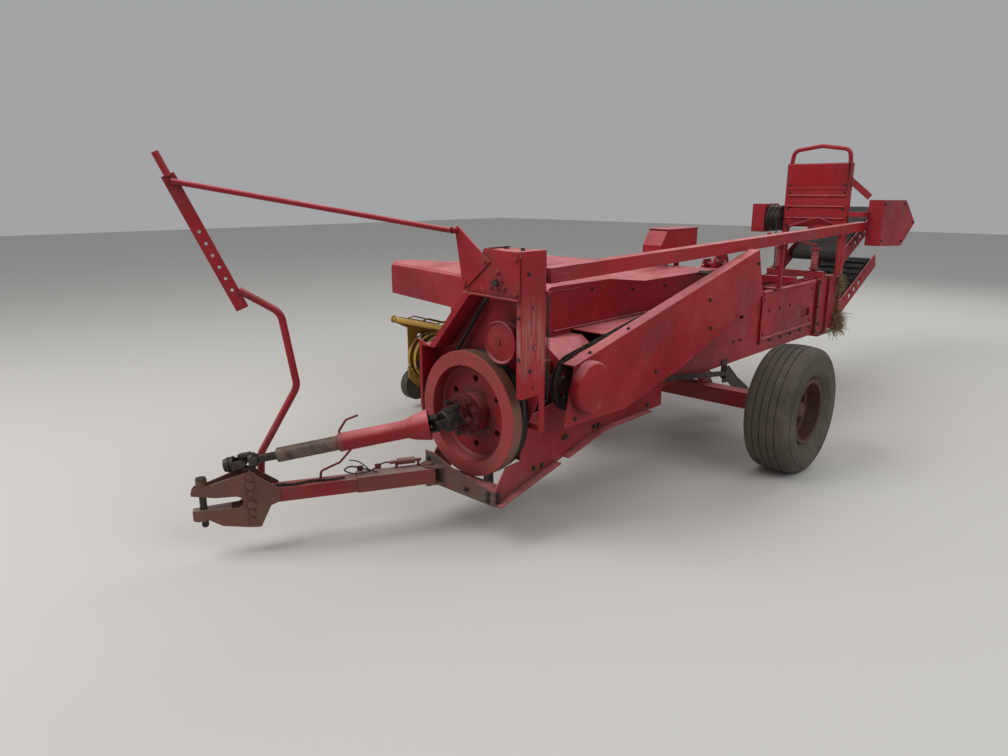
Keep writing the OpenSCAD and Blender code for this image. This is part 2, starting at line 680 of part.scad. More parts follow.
module case_walls() {
    at_home() color("firebrick") for (s = [-1, 1]) {
        difference() {
            along_x(s > 0 ? case_in : -case_out, case_t) polygon([[-case_front, rail_low],
                [case_rear, rail_low],
                [case_rear, rail_high], [knotter_y, rail_high], [knotter_y, roof_top],
                    [-case_front, roof_top]]);
            // The feeder's window is in the right wall alone
            slab([-case_out - 5, -420, case_floor_z], [0, 260, case_roof_z]);
            // Hay dog slots
            for (y = [330, 430], z = [640, 800]) slab([-case_out - 5, y, z], [case_out + 5, y + 60, z + 24]);
        }
        // Angle iron ribs outside the wall
        for (y = [-1080, -760]) slab([s * (case_out - 1), y, 662], [s * (case_out + 22), y + 6, roof_top]);
        for (y = [1760, 2000]) slab([s * (case_out - 1), y, rail_low],
            [s * (case_out + 18), y + 30, rail_high]);
        slab([s * (case_out - 1), case_rear - 30, 562], [s * (case_out + 18), case_rear, rail_high]);
    }
}

module case_floor() {
    at_home() color("firebrick") {
        difference() {
            slab([-case_in, -case_front, case_floor_z - case_t], [case_in, case_rear, case_floor_z]);
            for (x = knotters) slab([x - 20, 200, 0], [x + 20, 720, 900]);
        }
        for (s = [-1, 1]) slab([s * case_in, -500, rail_low],
            [s * (case_in - case_t), case_rear, case_floor_z - case_t]);
    }
}

module case_roof() {
    at_home() color("firebrick") difference() {
        slab([-case_in, -case_front, case_roof_z], [case_in, knotter_y, roof_top]);
        // Slots for the needles under the knotters
        for (x = knotters) slab([x - 20, 300, 0], [x + 20, 700, 1900]);
    }
}

module side_panel() {
    front = 750;
    back = 1690;
    at_home() color("firebrick") {
        difference() {
            slab([case_out, front, case_floor_z + 40], [case_out + 14, back, rail_high]);
            // Slot that shows the bale, and a row of inspection holes
            slab([case_out - 5, back - 240, case_floor_z + 130],
                [case_out + 20, back - 70, case_floor_z + 190]);
            for (y = [front + 120:180:back - 300]) translate([case_out - 5, y,
                case_floor_z + 250]) rotate([0, 90, 0])
                cylinder(d = 30, h = 30);
        }
        // Rolled edges along the top and the bottom
        for (z = [rail_high - 14, case_floor_z + 54]) rod([case_out + 12, front, z],
            [case_out + 12, back, z], 22);
        for (y = [front + 40, back - 40], z = [case_floor_z + 90, rail_high - 60]) nut_x([case_out + 13, y,
            z], 19, 9);
    }
}

module drive_shield() {
    at_home() color("firebrick") {
        along_x(396, 4) polygon([[-1593, 853], [-1670, 560], [-1149, 551], [-618, 670], [-127, 816],
            [398, 988], [293, 1289]]);
        along_x(330, 68) polygon([[-1593, 853], [293, 1289], [293, 1284], [-1593, 848]]);
        turn_x([400, -1500, 740]) square([118, 50]);
        slab([plate_out, -1420, 600], [397, -1390, 606]);
        slab([case_out, -300, 880], [397, -270, 886]);
    }
}

module chain_drive() {
    low = [-1500, 740];
    high = [230, 1120];
    rl = 132;
    rh = 70;
    tilt = atan2(high.y - low.y, high.x - low.x);
    run_len = norm(high - low);
    // Straight runs leave both sprockets at this angle
    fan = asin((rl - rh) / run_len);
    pitch = 50;
    at_home() color("black") {
        sprocket([300, low.x, low.y], rl, 20);
        sprocket([300, high.x, high.y], rh, 11);
        rod([150, low.x, low.y], [306, low.x, low.y], 40);
        rod([20, high.x, high.y], [306, high.x, high.y], 30);
        for (x = [294, 312]) loop_x(x, 4, low, high, rl - 1, rh - 1, 13);
        // Rollers on the two straight runs
        for (s = [-1, 1], i = [0:round(run_len * cos(fan) / pitch) - 1]) {
            a = tilt + s * (90 - fan);
            p = low + (rl + 5) * [cos(a), sin(a)] + (i + 0.5) * pitch * [cos(tilt - s * fan),
                sin(tilt - s * fan)];
            rod([295, p.x, p.y], [315, p.x, p.y], 9);
        }
    }
}
// A chain wheel on the X axis with n teeth, r to the roots
module sprocket(p, r, n) {
    translate(p) along_x(0, 10) difference() {
        union() {
            circle(r = r - 3);
            for (i = [0:n - 1]) rotate(i * 360 / n) polygon([[r - 8, -9], [r + 8, -3], [r + 8, 3],
                [r - 8, 9]]);
        }
        for (a = [0:72:359]) rotate(a) translate([r * 0.62, 0]) circle(r = r * 0.15);
    }
}
// A belt or chain round two wheels whose centres are in (Y, Z), drawn from x to x + w
module loop_x(x, w, a, b, ra, rb, t) {
    along_x(x, w) loop(a, b, ra, rb, t);
}
// The outline of a belt of thickness t round two wheels
module loop(a, b, ra, rb, t) {
    difference() {
        hull() {
            translate(a) circle(r = ra + t);
            translate(b) circle(r = rb + t);
        }
        hull() {
            translate(a) circle(r = ra);
            translate(b) circle(r = rb);
        }
    }
}

module hood() {
    t = 5;
    back = hood_rear;
    low = hood_top_z - 45 - hood_face_h;
    wall_low = hood_top_z - 215;
    knee = -800;
    rear_top = hood_top_z - 42;
    // Front sheet's section, its depth counted from the front face
    face = [[0, low], [0, hood_top_z - 45], [6, hood_top_z - 24], [20, hood_top_z - 8], [40, hood_top_z],
        [700, hood_top_z], [700, hood_top_z - t], [42, hood_top_z - t], [23, hood_top_z - 13],
        [11, hood_top_z - 27], [t, hood_top_z - 47], [t, low + t], [14, low + t], [14, low]];
    right_front = (hood_right + 20) * tan(hood_skew) - hood_front;
    at_home() color("firebrick") {
        intersection() {
            translate([20, -hood_front, 0]) rotate([0, 0, -hood_skew]) along_x(-hood_right - 200,
                hood_right + 400)
                polygon(face);
            slab([-hood_right, -hood_front - 300, 0], [20, knee, 2000]);
        }
        along_x(-hood_right, hood_right + 20) polygon([[knee - 2, hood_top_z - t], [knee - 2, hood_top_z],
            [knee, hood_top_z], [-430, rear_top], [back, rear_top], [back, wall_low], [back - t, wall_low],
            [back - t, rear_top - t], [-430, rear_top - t], [knee, hood_top_z - t]]);
        end_panel(-hood_right, right_front + 4, [[-400, 920], [right_front + 4, low + 1]]);
        end_panel(20 - t, -hood_front + 4, [[-case_front - 6, roof_top], [-case_front - 6, low - 40],
            [-hood_front + 50, low - 40], [-hood_front + 4, low + 1]]);
        along_y(back - t + 1, t - 2) polygon([[17, roof_top], [-case_out, roof_top],
            [-case_out, case_floor_z - 2],
            [wheel_bay, case_floor_z - 2], [wheel_bay, wall_low + 10], [17, wall_low + 10]]);
    }
}
// Closed end of the hood at x, its front edge at y, its lower edge given from the rear forwards
module end_panel(x, y, lower) {
    z = hood_top_z;
    along_x(x, 5) polygon(concat([[y, z - 47], [y + 8, z - 26], [y + 18, z - 11], [y + 38, z - 2],
        [-800, z - 2],
        [-430, z - 44], [hood_rear - 2, z - 44], [hood_rear - 2, x > -100 ? roof_top : z - 213]], lower));
}

module feeder_floor() {
    inner = wheel_bay;
    ahead = -tyre_d / 2 - 25;
    back = hood_rear - 4;
    at_home() color("firebrick") {
        along_z(case_floor_z - 5, 5) polygon([[-case_out, floor_front], [-case_out, back], [inner, back],
            [inner, ahead], [-hood_right, ahead], [-hood_right, floor_front]]);
        along_z(case_floor_z - 2, 342) polygon([[inner, back], [inner, ahead - 5], [-hood_right, ahead - 5],
            [-hood_right, ahead], [inner - 5, ahead], [inner - 5, back]]);
        for (x = pivot_lugs) along_x(x, pivot_lug_w) difference() {
            polygon([[pivot_y - 18, pivot_z - 14], [pivot_y - 18, pivot_z + 16],
                [pivot_y + 18, pivot_z + 16],
                [floor_front + 40, case_floor_z - 2], [floor_front, case_floor_z - 2]]);
            translate([pivot_y, pivot_z]) circle(d = pivot_d + 2 * run);
        }
        // Ribs under the floor
        for (x = [-1380, -1050, -720, -390]) slab([x, floor_front + 6, case_floor_z - 42],
            [x + 5, back - 10, case_floor_z - 4]);
    }
}

module axle_beam() {
    at_home() color("firebrick") {
        slab([right_beam_end, -axle_w / 2, axle_z - axle_w / 2],
            [left_beam_end, axle_w / 2, axle_z + axle_w / 2]);
        for (x = [-case_in, case_in, -1400]) slab([x - 20, -axle_w / 2, axle_z + axle_w / 2 - 1],
            [x + 20, axle_w / 2, x < -1000 ? case_floor_z - 5 : rail_low]);
        rod([left_beam_end - 1, 0, axle_z], [left_wheel_x + 50, 0, axle_z], spindle_d);
        rod([right_beam_end + 1, 0, axle_z], [-right_wheel_x - 50, 0, axle_z], spindle_d);
    }
}

// One tyre, centred on the origin and turned about X
module tyre() {
    r = tyre_d / 2;
    w = tyre_w / 2;
    bead = rim_d / 2 + touch;
    turn_x([0, 0, 0]) difference() {
        polygon([[bead, -w + 52], [bead + 20, -w + 50], [bead + 44, -w + 18], [bead + 75, -w + 4],
            [bead + 115, -w],
            [r - 40, -w + 6], [r - 12, -w + 18], [r, -w + 32], [r, w - 32], [r - 12, w - 18],
                [r - 40, w - 6],
            [bead + 115, w], [bead + 75, w - 4], [bead + 44, w - 18], [bead + 20, w - 50], [bead, w - 52]]);
        // Grooves of the tread
        for (x = [-66, -22, 22, 66]) translate([r - 12, x - 6]) square([20, 12]);
    }
}
// One rim, outboard towards +X
module rim() {
    r = rim_d / 2;
    w = tyre_w / 2 - 44;
    turn_x([0, 0, 0]) {
        polygon([[r, -w + 1], [r + 16, -w - 6], [r + 16, -w - 12], [r - 8, -w - 12], [r - 8, -30],
            [r - 26, -20],
            [r - 26, 20], [r - 8, 30], [r - 8, w + 12], [r + 16, w + 12], [r + 16, w + 6], [r, w - 1],
                [r, 26],
            [r - 18, 16], [r - 18, -16], [r, -26]]);
        translate([hub_r - 4, -dish_in]) square([r - 22 - hub_r + 4, 8]);
        translate([wheel_bore / 2, -60]) square([hub_r - wheel_bore / 2, 96]);
    }
}
module left_tyre() { at_home() color("dimgray") translate([left_wheel_x, 0, axle_z]) tyre(); }
module right_tyre() { at_home() color("dimgray") translate([-right_wheel_x, 0, axle_z]) tyre(); }
module left_rim() { at_home() color("saddlebrown") translate([left_wheel_x, 0, axle_z]) rim(); }
module right_rim() {
    at_home() color("saddlebrown") translate([-right_wheel_x, 0, axle_z]) rotate([0, 0, 180]) rim();
}

module pickup_frame() {
    gauge_z = gauge_low + gauge_d / 2;
    pipe_at = [plate_front - 90, 722];
    at_home() color("goldenrod") {
        for (x = [pickup_left, pickup_right - pickup_t]) along_x(x, pickup_t) difference() {
            polygon([[pivot_y + 18, pivot_z + 14], [pivot_y + 18, pivot_z - 22], [pivot_y, 250],
                [pivot_y - 40, 200],
                [plate_front + 50, 200], [plate_front, 260], [plate_front, 650],
                    [pipe_at.x - 26, pipe_at.y - 16],
                [pipe_at.x - 26, pipe_at.y + 14], [pipe_at.x + 20, pipe_at.y + 20], [plate_front + 100, 700],
                [pivot_y - 80, 655]]);
            translate([-reel_front, reel_z]) circle(d = reel_shaft_d + 2 * run);
            translate([plate_front + 110, 570]) circle(d = 44);
        }
        rod([pickup_left + 2, pivot_y, pivot_z], [pivot_lugs[0] - 6, pivot_y, pivot_z], pivot_d);
        rod([pickup_right - 2, pivot_y, pivot_z], [pivot_lugs[1] + pivot_lug_w + 6, pivot_y, pivot_z],
            pivot_d);
        // Cross pipe ahead of the reel with the wind guard's rods
        rod([pickup_right - 44, pipe_at.x, pipe_at.y], [pickup_left + pickup_t, pipe_at.x, pipe_at.y], 42);
        rod([pickup_right - 56, pipe_at.x, pipe_at.y], [pickup_right - 40, pipe_at.x, pipe_at.y], 54);
        for (i = [0:8]) {
            x = pickup_right + 80 + i * (pickup_w - 160) / 8;
            bent_rod([[x, pipe_at.x, pipe_at.y + 12], [x, pipe_at.x + 90, pipe_at.y + 26],
                [x, pivot_y - 60, pivot_z + 70]],
                10, 60, 8, 2);
        }
        // Rear tie between the plates, and stiffening angles along their lower edges
        slab([pickup_right - 1, pivot_y - 60, 202], [pickup_left + 1, pivot_y - 40, 214]);
        slab([pickup_left + pickup_t - 1, plate_front + 50, 200],
            [pickup_left + pickup_t + 17, pivot_y - 40, 206]);
        along_x(pickup_right - pickup_t - 8, 9) polygon([[-730, 300], [-670, 300], [-680, gauge_z - 15],
            [-720, gauge_z - 15]]);
        rod([gauge_x - gauge_w / 2, -700, gauge_z], [pickup_right - pickup_t - 4, -700, gauge_z], 24);
    }
}

module pickup_reel() {
    arm = reel_r - 105;
    at_home() color("dimgray") translate([0, -reel_front, reel_z]) {
        rod([pickup_right - 20, 0, 0], [pickup_left + 20, 0, 0], reel_shaft_d);
        // Spiders carry the tine bars
        for (x = [pickup_right + 60, (pickup_left + pickup_right) / 2, pickup_left - 70]) along_x(x,
            10) union() {
            circle(r = 50);
            for (b = [0:reel_bars - 1]) rotate(b * 360 / reel_bars + 20) translate([0,
                -18]) square([arm + 12, 36]);
        }
        for (b = [0:reel_bars - 1]) rotate([b * 360 / reel_bars + 20, 0, 0]) {
            rod([pickup_right + 40, arm, 0], [pickup_left - 40, arm, 0], 26);
            for (i = [0:tine_rows - 1]) translate([pickup_right + (i + 0.5) * pickup_w / tine_rows, 0, 0]) {
                rod([0, arm + 6, 0], [0, reel_r - 2, -14], 7);
                translate([-11, arm, 0]) rotate([0, 90, 0]) cylinder(d = 36, h = 22);
            }
        }
    }
}

module strippers() {
    r = stripper_r;
    reach = stripper_reach;
    pitch = pickup_w / tine_rows;
    at_home() color("goldenrod") translate([0, -reel_front, reel_z]) {
        for (i = [0:tine_rows]) along_x(pickup_right + i * pitch - (i == 0 ? 0 : i == tine_rows ? 26 : 13),
            26)
            difference() {
                union() {
                    circle(r = r);
                    translate([0, -r]) square([reach, 2 * r]);
                }
                circle(r = r - 4);
                translate([0, 4 - r]) square([r + 30, 2 * r - 8]);
            }
        for (z = [-r - 4, r - 3]) slab([pickup_right, reach - 9, z], [pickup_left, reach, z + 7]);
    }
}

module gauge_wheel() {
    at_home() color("dimgray") turn_x([gauge_x, -700, gauge_low + gauge_d / 2]) {
        translate([12 + run, -gauge_w / 2]) square([gauge_d / 2 - 12 - run, gauge_w]);
    }
}

module knotter_frame() {
    front = hood_rear + 20;
    base = roof_top;
    shaft = [700, 1130];
    at_home() color("firebrick") {
        slab([-200, front, base], [200, 880, base + 10]);
        for (x = [-180, 180]) along_x(x - 5, 10) polygon([[front + 20, base + 8], [860, base + 8],
            [860, base + 60],
            [shaft.x + 50, shaft.y + 40], [shaft.x - 50, shaft.y + 40], [front + 20, base + 90]]);
        rod([-196, shaft.x, shaft.y], [196, shaft.x, shaft.y], 36);
        for (x = knotters) {
            // Cam gear with its gap, and the knotter's body below it
            along_x(x + 30, 16) difference() {
                translate(shaft) circle(r = 110);
                for (a = [20, 140, 260]) translate(shaft) rotate(a) translate([74, 0]) circle(r = 20);
                translate(shaft) rotate(215) translate([100, -18]) square([30, 36]);
            }
            turn_x([x + 14, shaft.x, shaft.y]) square([44, 17]);
            along_x(x - 26, 46) polygon([[shaft.x - 30, shaft.y - 10], [shaft.x + 26, shaft.y - 10],
                [shaft.x + 60, base + 70], [shaft.x + 70, base + 30], [shaft.x - 10, base + 30],
                    [shaft.x - 60, base + 90]]);
            rod([x - 3, shaft.x + 13, base + 50], [x - 3, shaft.x + 13, base + 9], 28);
            translate([x - 3, shaft.x + 60, base + 60]) rotate([70, 0, 0]) cylinder(d = 92, h = 22,
                center = true);
            bent_rod([[x - 40, shaft.x - 40, base + 9], [x - 40, shaft.x - 44, base + 80],
                [x - 40, shaft.x + 40, base + 110]],
                10, 24, 8, 2);
        }
        // Trip arm and measuring wheel's bracket
        bar([-150, 560, base + 10], [-150, 600, 1120], 12, 30);
        turn_x([-158, 600, 1116]) square([26, 16]);
    }
}

module needle_yoke() {
    inner = case_out + 14;
    at_home() color("gray") {
        for (s = [-1, 1]) {
            // Side plate on its pivot, with the hanger on the case wall
            along_x(s > 0 ? inner : -inner - 8, 8) polygon([[205, 495], [290, 505], [430, 400], [600, 300],
                [645, 255],
                [645, 220], [560, 220], [470, 250], [300, 390], [215, 400]]);
            rod([s * (case_out + 4), 250, 455], [s * (inner + 20), 250, 455], 44);
            slab([s * case_out, 215, 430], [s * (case_out + 8), 285, 550]);
            rod([s * (inner + 4), 250, 455], [s * (inner + 20), 250, 455], 70);
        }
        // Pull bar to the crank in front
        bar([inner + 14, -640, 586], [inner + 14, 246, 462], 8, 34);
        slab([-inner - 4, 562, 220], [inner + 4, 640, 250]);
        // Needles
        for (x = knotters) translate([x, 600, 620]) rotate([90, 0, 90])
            translate([0, 0, -8]) rotate([0, 0, 197]) rotate_extrude(angle = 73) translate([370,
                0]) square([30, 16]);
    }
}

module tension_rails() {
    screw_y = 1885;
    top = 1232;
    at_home() color("firebrick") {
        for (x = [-150, 150]) {
            difference() {
                slab([x - 30, 950, case_roof_z], [x + 30, case_rear, rail_high]);
                slab([x - 23, 940, case_roof_z + 8], [x + 23, case_rear + 9, rail_high + 9]);
            }
            slab([x - 30, screw_y - 30, rail_high - 9], [x + 30, screw_y + 30, rail_high + 1]);
            rod([x, screw_y, rail_high], [x, screw_y, top], 22);
            // Coil spring with its caps
            translate([x, screw_y, rail_high + 74]) rotate_extrude() polygon(concat([[0, 0]],
                [for (i = [0:9]) each [[30, i * 15 + 4], [22, i * 15 + 11]]], [[30, 154], [0, 154]]));
            turn_up([x, screw_y, rail_high + 66]) square([38, 10]);
            turn_up([x, screw_y, rail_high + 226]) square([38, 10]);
            // Crank with its ball
            bar([x, screw_y, top - 6], [x - 110, screw_y + 10, top + 8], 26, 12);
            rod([x - 104, screw_y + 10, top], [x - 104, screw_y + 10, top + 62], 16);
            turn_up([x - 104, screw_y + 10, top + 66]) polygon([[0, -17], [8, -17], [16, -10], [19, -4],
                [19, 4], [16, 10], [8, 17], [0, 17]]);
        }
        for (y = [1300, screw_y - 25]) slab([-case_out, y, rail_high], [case_out, y + 50, rail_high + 50]);
        // Measuring wheel on its arm
        bar([-190, 1320, rail_high + 20], [-190, 1222, 1056], 14, 36);
        turn_x([-201, 1215, 1062]) square([80, 22]);
    }
}
// A ring turned about the Z axis at p, its profile drawn in (radius, Z)
module turn_up(p) { translate(p) rotate_extrude() children(); }

module thrower_frame() {
    back = thrower_front + 60;
    hitch_z = 420;
    at_home() color("firebrick") {
        for (s = [-1, 1]) slab([s * case_out, case_rear - 120, 520], [s * (case_out + 20), back, 560]);
        slab([thrower_x - 270, thrower_front, 480], [thrower_x + 330, back, 521]);
        for (s = [-1, 1]) {
            slab([thrower_x + s * 230, thrower_front, 520], [thrower_x + s * 270, back, 1880]);
            for (u = [0, thrower_gap]) side_arm(thrower_x + s * 232 - 4, u);
            // Bolts of the side arms
            for (a = [200, 700], u = [0, thrower_gap]) {
                p = thrower_at(a, 40, u);
                nut_x([thrower_x + s * 232 + (s > 0 ? 3 : -13), p.x, p.y], 19, 10);
            }
        }
        // Loop over the top, and the two panels under it
        bent_rod([[thrower_x - 250, thrower_front + 30, 1860], [thrower_x - 235, thrower_front + 30, 1990],
            [thrower_x, thrower_front + 30, 2024], [thrower_x + 235, thrower_front + 30, 1990],
            [thrower_x + 250, thrower_front + 30, 1860]], 36, 60, 12, 4);
        along_x(thrower_x - 252, 504) polygon([[thrower_front, 1690], [thrower_front - 30, 1870],
            [thrower_front - 26, 1880],
            [thrower_front + 40, 1880], [thrower_front + 40, 1872], [thrower_front - 18, 1870],
                [thrower_front + 10, 1690]]);
        slab([thrower_x - 250, thrower_front - 8, 1664], [thrower_x + 250, thrower_front + 14, 1692]);
        slab([thrower_x - 250, thrower_front, 1344], [thrower_x + 250, thrower_front + 8, 1666]);
        for (z = [1420, 1520, 1610]) rod([thrower_x - 250, thrower_front - 6, z],
            [thrower_x + 250, thrower_front - 6, z], 16);
        // Arm out to the rear guard
        slab([thrower_x + 250, thrower_front + 10, 1440], [345, thrower_front + 50, 1480]);
        slab([337, thrower_front + 10, 1440], [345, 2460, 1480]);
        bar([thrower_x + 262, thrower_front + 30, 1740], [338, 2466, 1600], 12, 50);
        // Control lever on the arm and its rod
        bent_rod([[thrower_x + 150, thrower_front - 5, 1380], [thrower_x + 60, thrower_front - 60, 1430],
            [thrower_x - 200, thrower_front - 20, 1345]], 22, 60, 10, 3);
        // Hitch for a wagon: a bored plate under two braces
        difference() {
            union() {
                slab([thrower_x - 60, case_rear - 60, hitch_z - 8],
                    [thrower_x + 180, thrower_front + 200, hitch_z + 8]);
                translate([thrower_x + 60, thrower_front + 200, hitch_z - 8]) cylinder(r = 60, h = 16);
            }
            translate([thrower_x + 60, thrower_front + 205, 0]) cylinder(d = wagon_hole_d, h = 700);
        }
        for (x = [thrower_x - 60, thrower_x + 170]) slab([x, thrower_front + 4, hitch_z - 1],
            [x + 10, back - 4, 482]);
    }
}
// One side arm of the thrower's belts, with lightening holes
module side_arm(x, level) {
    along_x(x, 8) difference() {
        polygon([thrower_at(-80, -65, level), thrower_at(thrower_len + 20, -65, level),
            thrower_at(thrower_len + 20, 65, level), thrower_at(-80, 65, level)]);
        for (a = [330, 450, 570]) translate(thrower_at(a, 0, level)) circle(d = 60);
    }
}

module thrower_belts() {
    r = 40;
    side = thrower_belt_w / 2;
    at_home() color("dimgray") for (u = [0, thrower_gap]) {
        a = thrower_at(r + 5, 0, u);
        b = thrower_at(thrower_len - r - 5, 0, u);
        for (p = [a, b]) {
            rod([thrower_x - 228, p.x, p.y], [thrower_x + 228, p.x, p.y], 30);
            rod([thrower_x - side - 4, p.x, p.y], [thrower_x + side + 4, p.x, p.y], 2 * r);
        }
        loop_x(thrower_x - side, thrower_belt_w, a, b, r - 1, r - 1, 7);
        // Cleats across the belt's working face
        for (c = [80:110:thrower_len - 80]) {
            p = thrower_at(c, u > 0 ? -r - 10 : r + 10, u);
            bar([thrower_x - side + 8, p.x, p.y], [thrower_x + side - 8, p.x, p.y], 16, 12);
        }
    }
}

module rear_drive_guard() {
    outline = [[2460, 1200], [2460, 1578], [3066, 1572], [rear_guard_end, 1368], [3060, 1172]];
    at_home() color("firebrick") difference() {
        along_x(340, 120) polygon(outline);
        along_x(330, 125) offset(delta = -5) polygon(outline);
    }
}

module drive_tube() {
    full = norm(tube_b - tube_a);
    half = drive_tube_w / 2;
    inner = half - drive_tube_t;
    at_home() color("firebrick") {
        aim(tube_a, tube_b) difference() {
            translate([-half, -half, 310]) cube([drive_tube_w, drive_tube_w, full - 310]);
            translate([-inner, -inner, 325]) cube([2 * inner, 2 * inner, full]);
            translate([0, 0, 300]) cylinder(d = tower_shaft_d + 2 * run, h = 60);
        }
        for (y = [930, 2040]) {
            slab([case_in - 40, y - 30, rail_high], [tube_b.x + 5, y + 30, rail_high + 8]);
            slab([268, y - 15, rail_high + 4], [290, y + 15,
                tube_a.z - half + 3 + (y - tube_a.y) * (tube_b.z - tube_a.z) / (tube_b.y - tube_a.y)]);
        }
    }
}

module twine_box() {
    front = 335;
    back = 750;
    at_home() color("firebrick") {
        difference() {
            along_x(twine_right, twine_left - twine_right) polygon([[front - 80, twine_low],
                [front - 80, twine_low + 90],
                [front, twine_top], [back, twine_top], [back, twine_low]]);
            along_x(twine_right + 4, twine_left - twine_right - 8) polygon([[front - 76, twine_low + 4],
                [front - 76, twine_low + 88], [front + 6, twine_top + 9], [back - 4, twine_top + 9],
                [back - 4, twine_low + 4]]);
        }
        for (x = [twine_right + 30, twine_left - 30]) slab([x - 20, hood_rear, 1000],
            [x + 20, hood_rear + 6, twine_low + 2]);
        slab([twine_right - 8, front + 40, twine_top - 12], [twine_right + 1, back - 40, twine_top - 4]);
    }
}

module twine_lid() {
    at_home() color("firebrick") {
        slab([twine_right - 5, 329, twine_top + touch], [twine_left + 6, 756, twine_top + 5]);
        rod([twine_right - 8, 380, twine_top + 4.4], [twine_right - 8, 700, twine_top + 4.4], 8);
    }
}

main_frame();
tongue();
hitch_clevis();
hitch_pin();
stand_leg();
control_lever();
control_rod();
clutch_bracket();
driveline_shaft();
driveline_guard();
flywheel();
slip_clutch();
belt_pan();
belt_tower();
belt_channel();
drive_belts();
top_sheave();
idler_pulley();
gearbox();
plunger();
case_walls();
case_floor();
case_roof();
side_panel();
drive_shield();
chain_drive();
hood();
feeder_floor();
axle_beam();
left_tyre();
left_rim();
right_tyre();
right_rim();
pickup_frame();
pickup_reel();
strippers();
gauge_wheel();
knotter_frame();
needle_yoke();
tension_rails();
thrower_frame();
thrower_belts();
rear_drive_guard();
drive_tube();
twine_box();
twine_lid();
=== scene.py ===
"""Looks of a towed square baler with a belt thrower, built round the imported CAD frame."""
import json
import math
import random

import bpy
from mathutils import Matrix, Vector


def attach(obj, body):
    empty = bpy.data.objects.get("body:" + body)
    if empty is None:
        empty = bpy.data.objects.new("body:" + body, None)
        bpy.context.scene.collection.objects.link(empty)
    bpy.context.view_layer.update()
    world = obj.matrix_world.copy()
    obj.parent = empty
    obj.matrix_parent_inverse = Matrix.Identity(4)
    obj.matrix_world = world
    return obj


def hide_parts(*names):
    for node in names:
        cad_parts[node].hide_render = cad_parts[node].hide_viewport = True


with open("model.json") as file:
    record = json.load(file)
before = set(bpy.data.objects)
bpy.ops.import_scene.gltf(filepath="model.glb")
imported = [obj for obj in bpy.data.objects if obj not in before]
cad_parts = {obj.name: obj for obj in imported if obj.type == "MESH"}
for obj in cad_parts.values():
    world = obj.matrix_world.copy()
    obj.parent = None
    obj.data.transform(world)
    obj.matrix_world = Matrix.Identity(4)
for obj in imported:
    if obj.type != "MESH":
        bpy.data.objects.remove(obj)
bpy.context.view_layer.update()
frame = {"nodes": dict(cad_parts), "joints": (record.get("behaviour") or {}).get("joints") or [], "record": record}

rng = random.Random(11)

# Machine frame, in millimetres: X left of the flywheel's axis, Y behind the axle, Z above the ground
JOINTS = {j["name"]: j for j in frame["joints"]}
TYRE_R = 385
LEFT_WHEEL = Vector((810, 0, TYRE_R))
RIGHT_WHEEL = Vector((-1700, 0, TYRE_R))
HOME = Vector(JOINTS["left_wheel_spin"]["pos_m"]) * 1000 - LEFT_WHEEL
FLYWHEEL_AT = Vector((0, -1922, 606))
DRIVELINE_AT = Vector((0, -2125, 606))
DRIVELINE_DIR = Vector(JOINTS["driveline_spin"]["axis"]).normalized()
TONGUE_AT = Vector((-160, -1980, 0))
TONGUE_SWING = math.radians(28)
TONGUE_TOP = 312
TURN = 2 * math.pi
UP = Vector((0, 0, 1))
LEFT = Vector((1, 0, 0))
FRONT = Vector((0, -1, 0))
BACK = Vector((0, 1, 0))


def row(p):
    """A point of the machine frame, in the row frame's metres."""
    return (Vector(p) + HOME) / 1000


def on_tongue(x, y, z):
    """A point of the tongue's own frame (-Y towards the hitch), in the machine frame."""
    return TONGUE_AT + Matrix.Rotation(-TONGUE_SWING, 3, "Z") @ Vector((x, y, z))


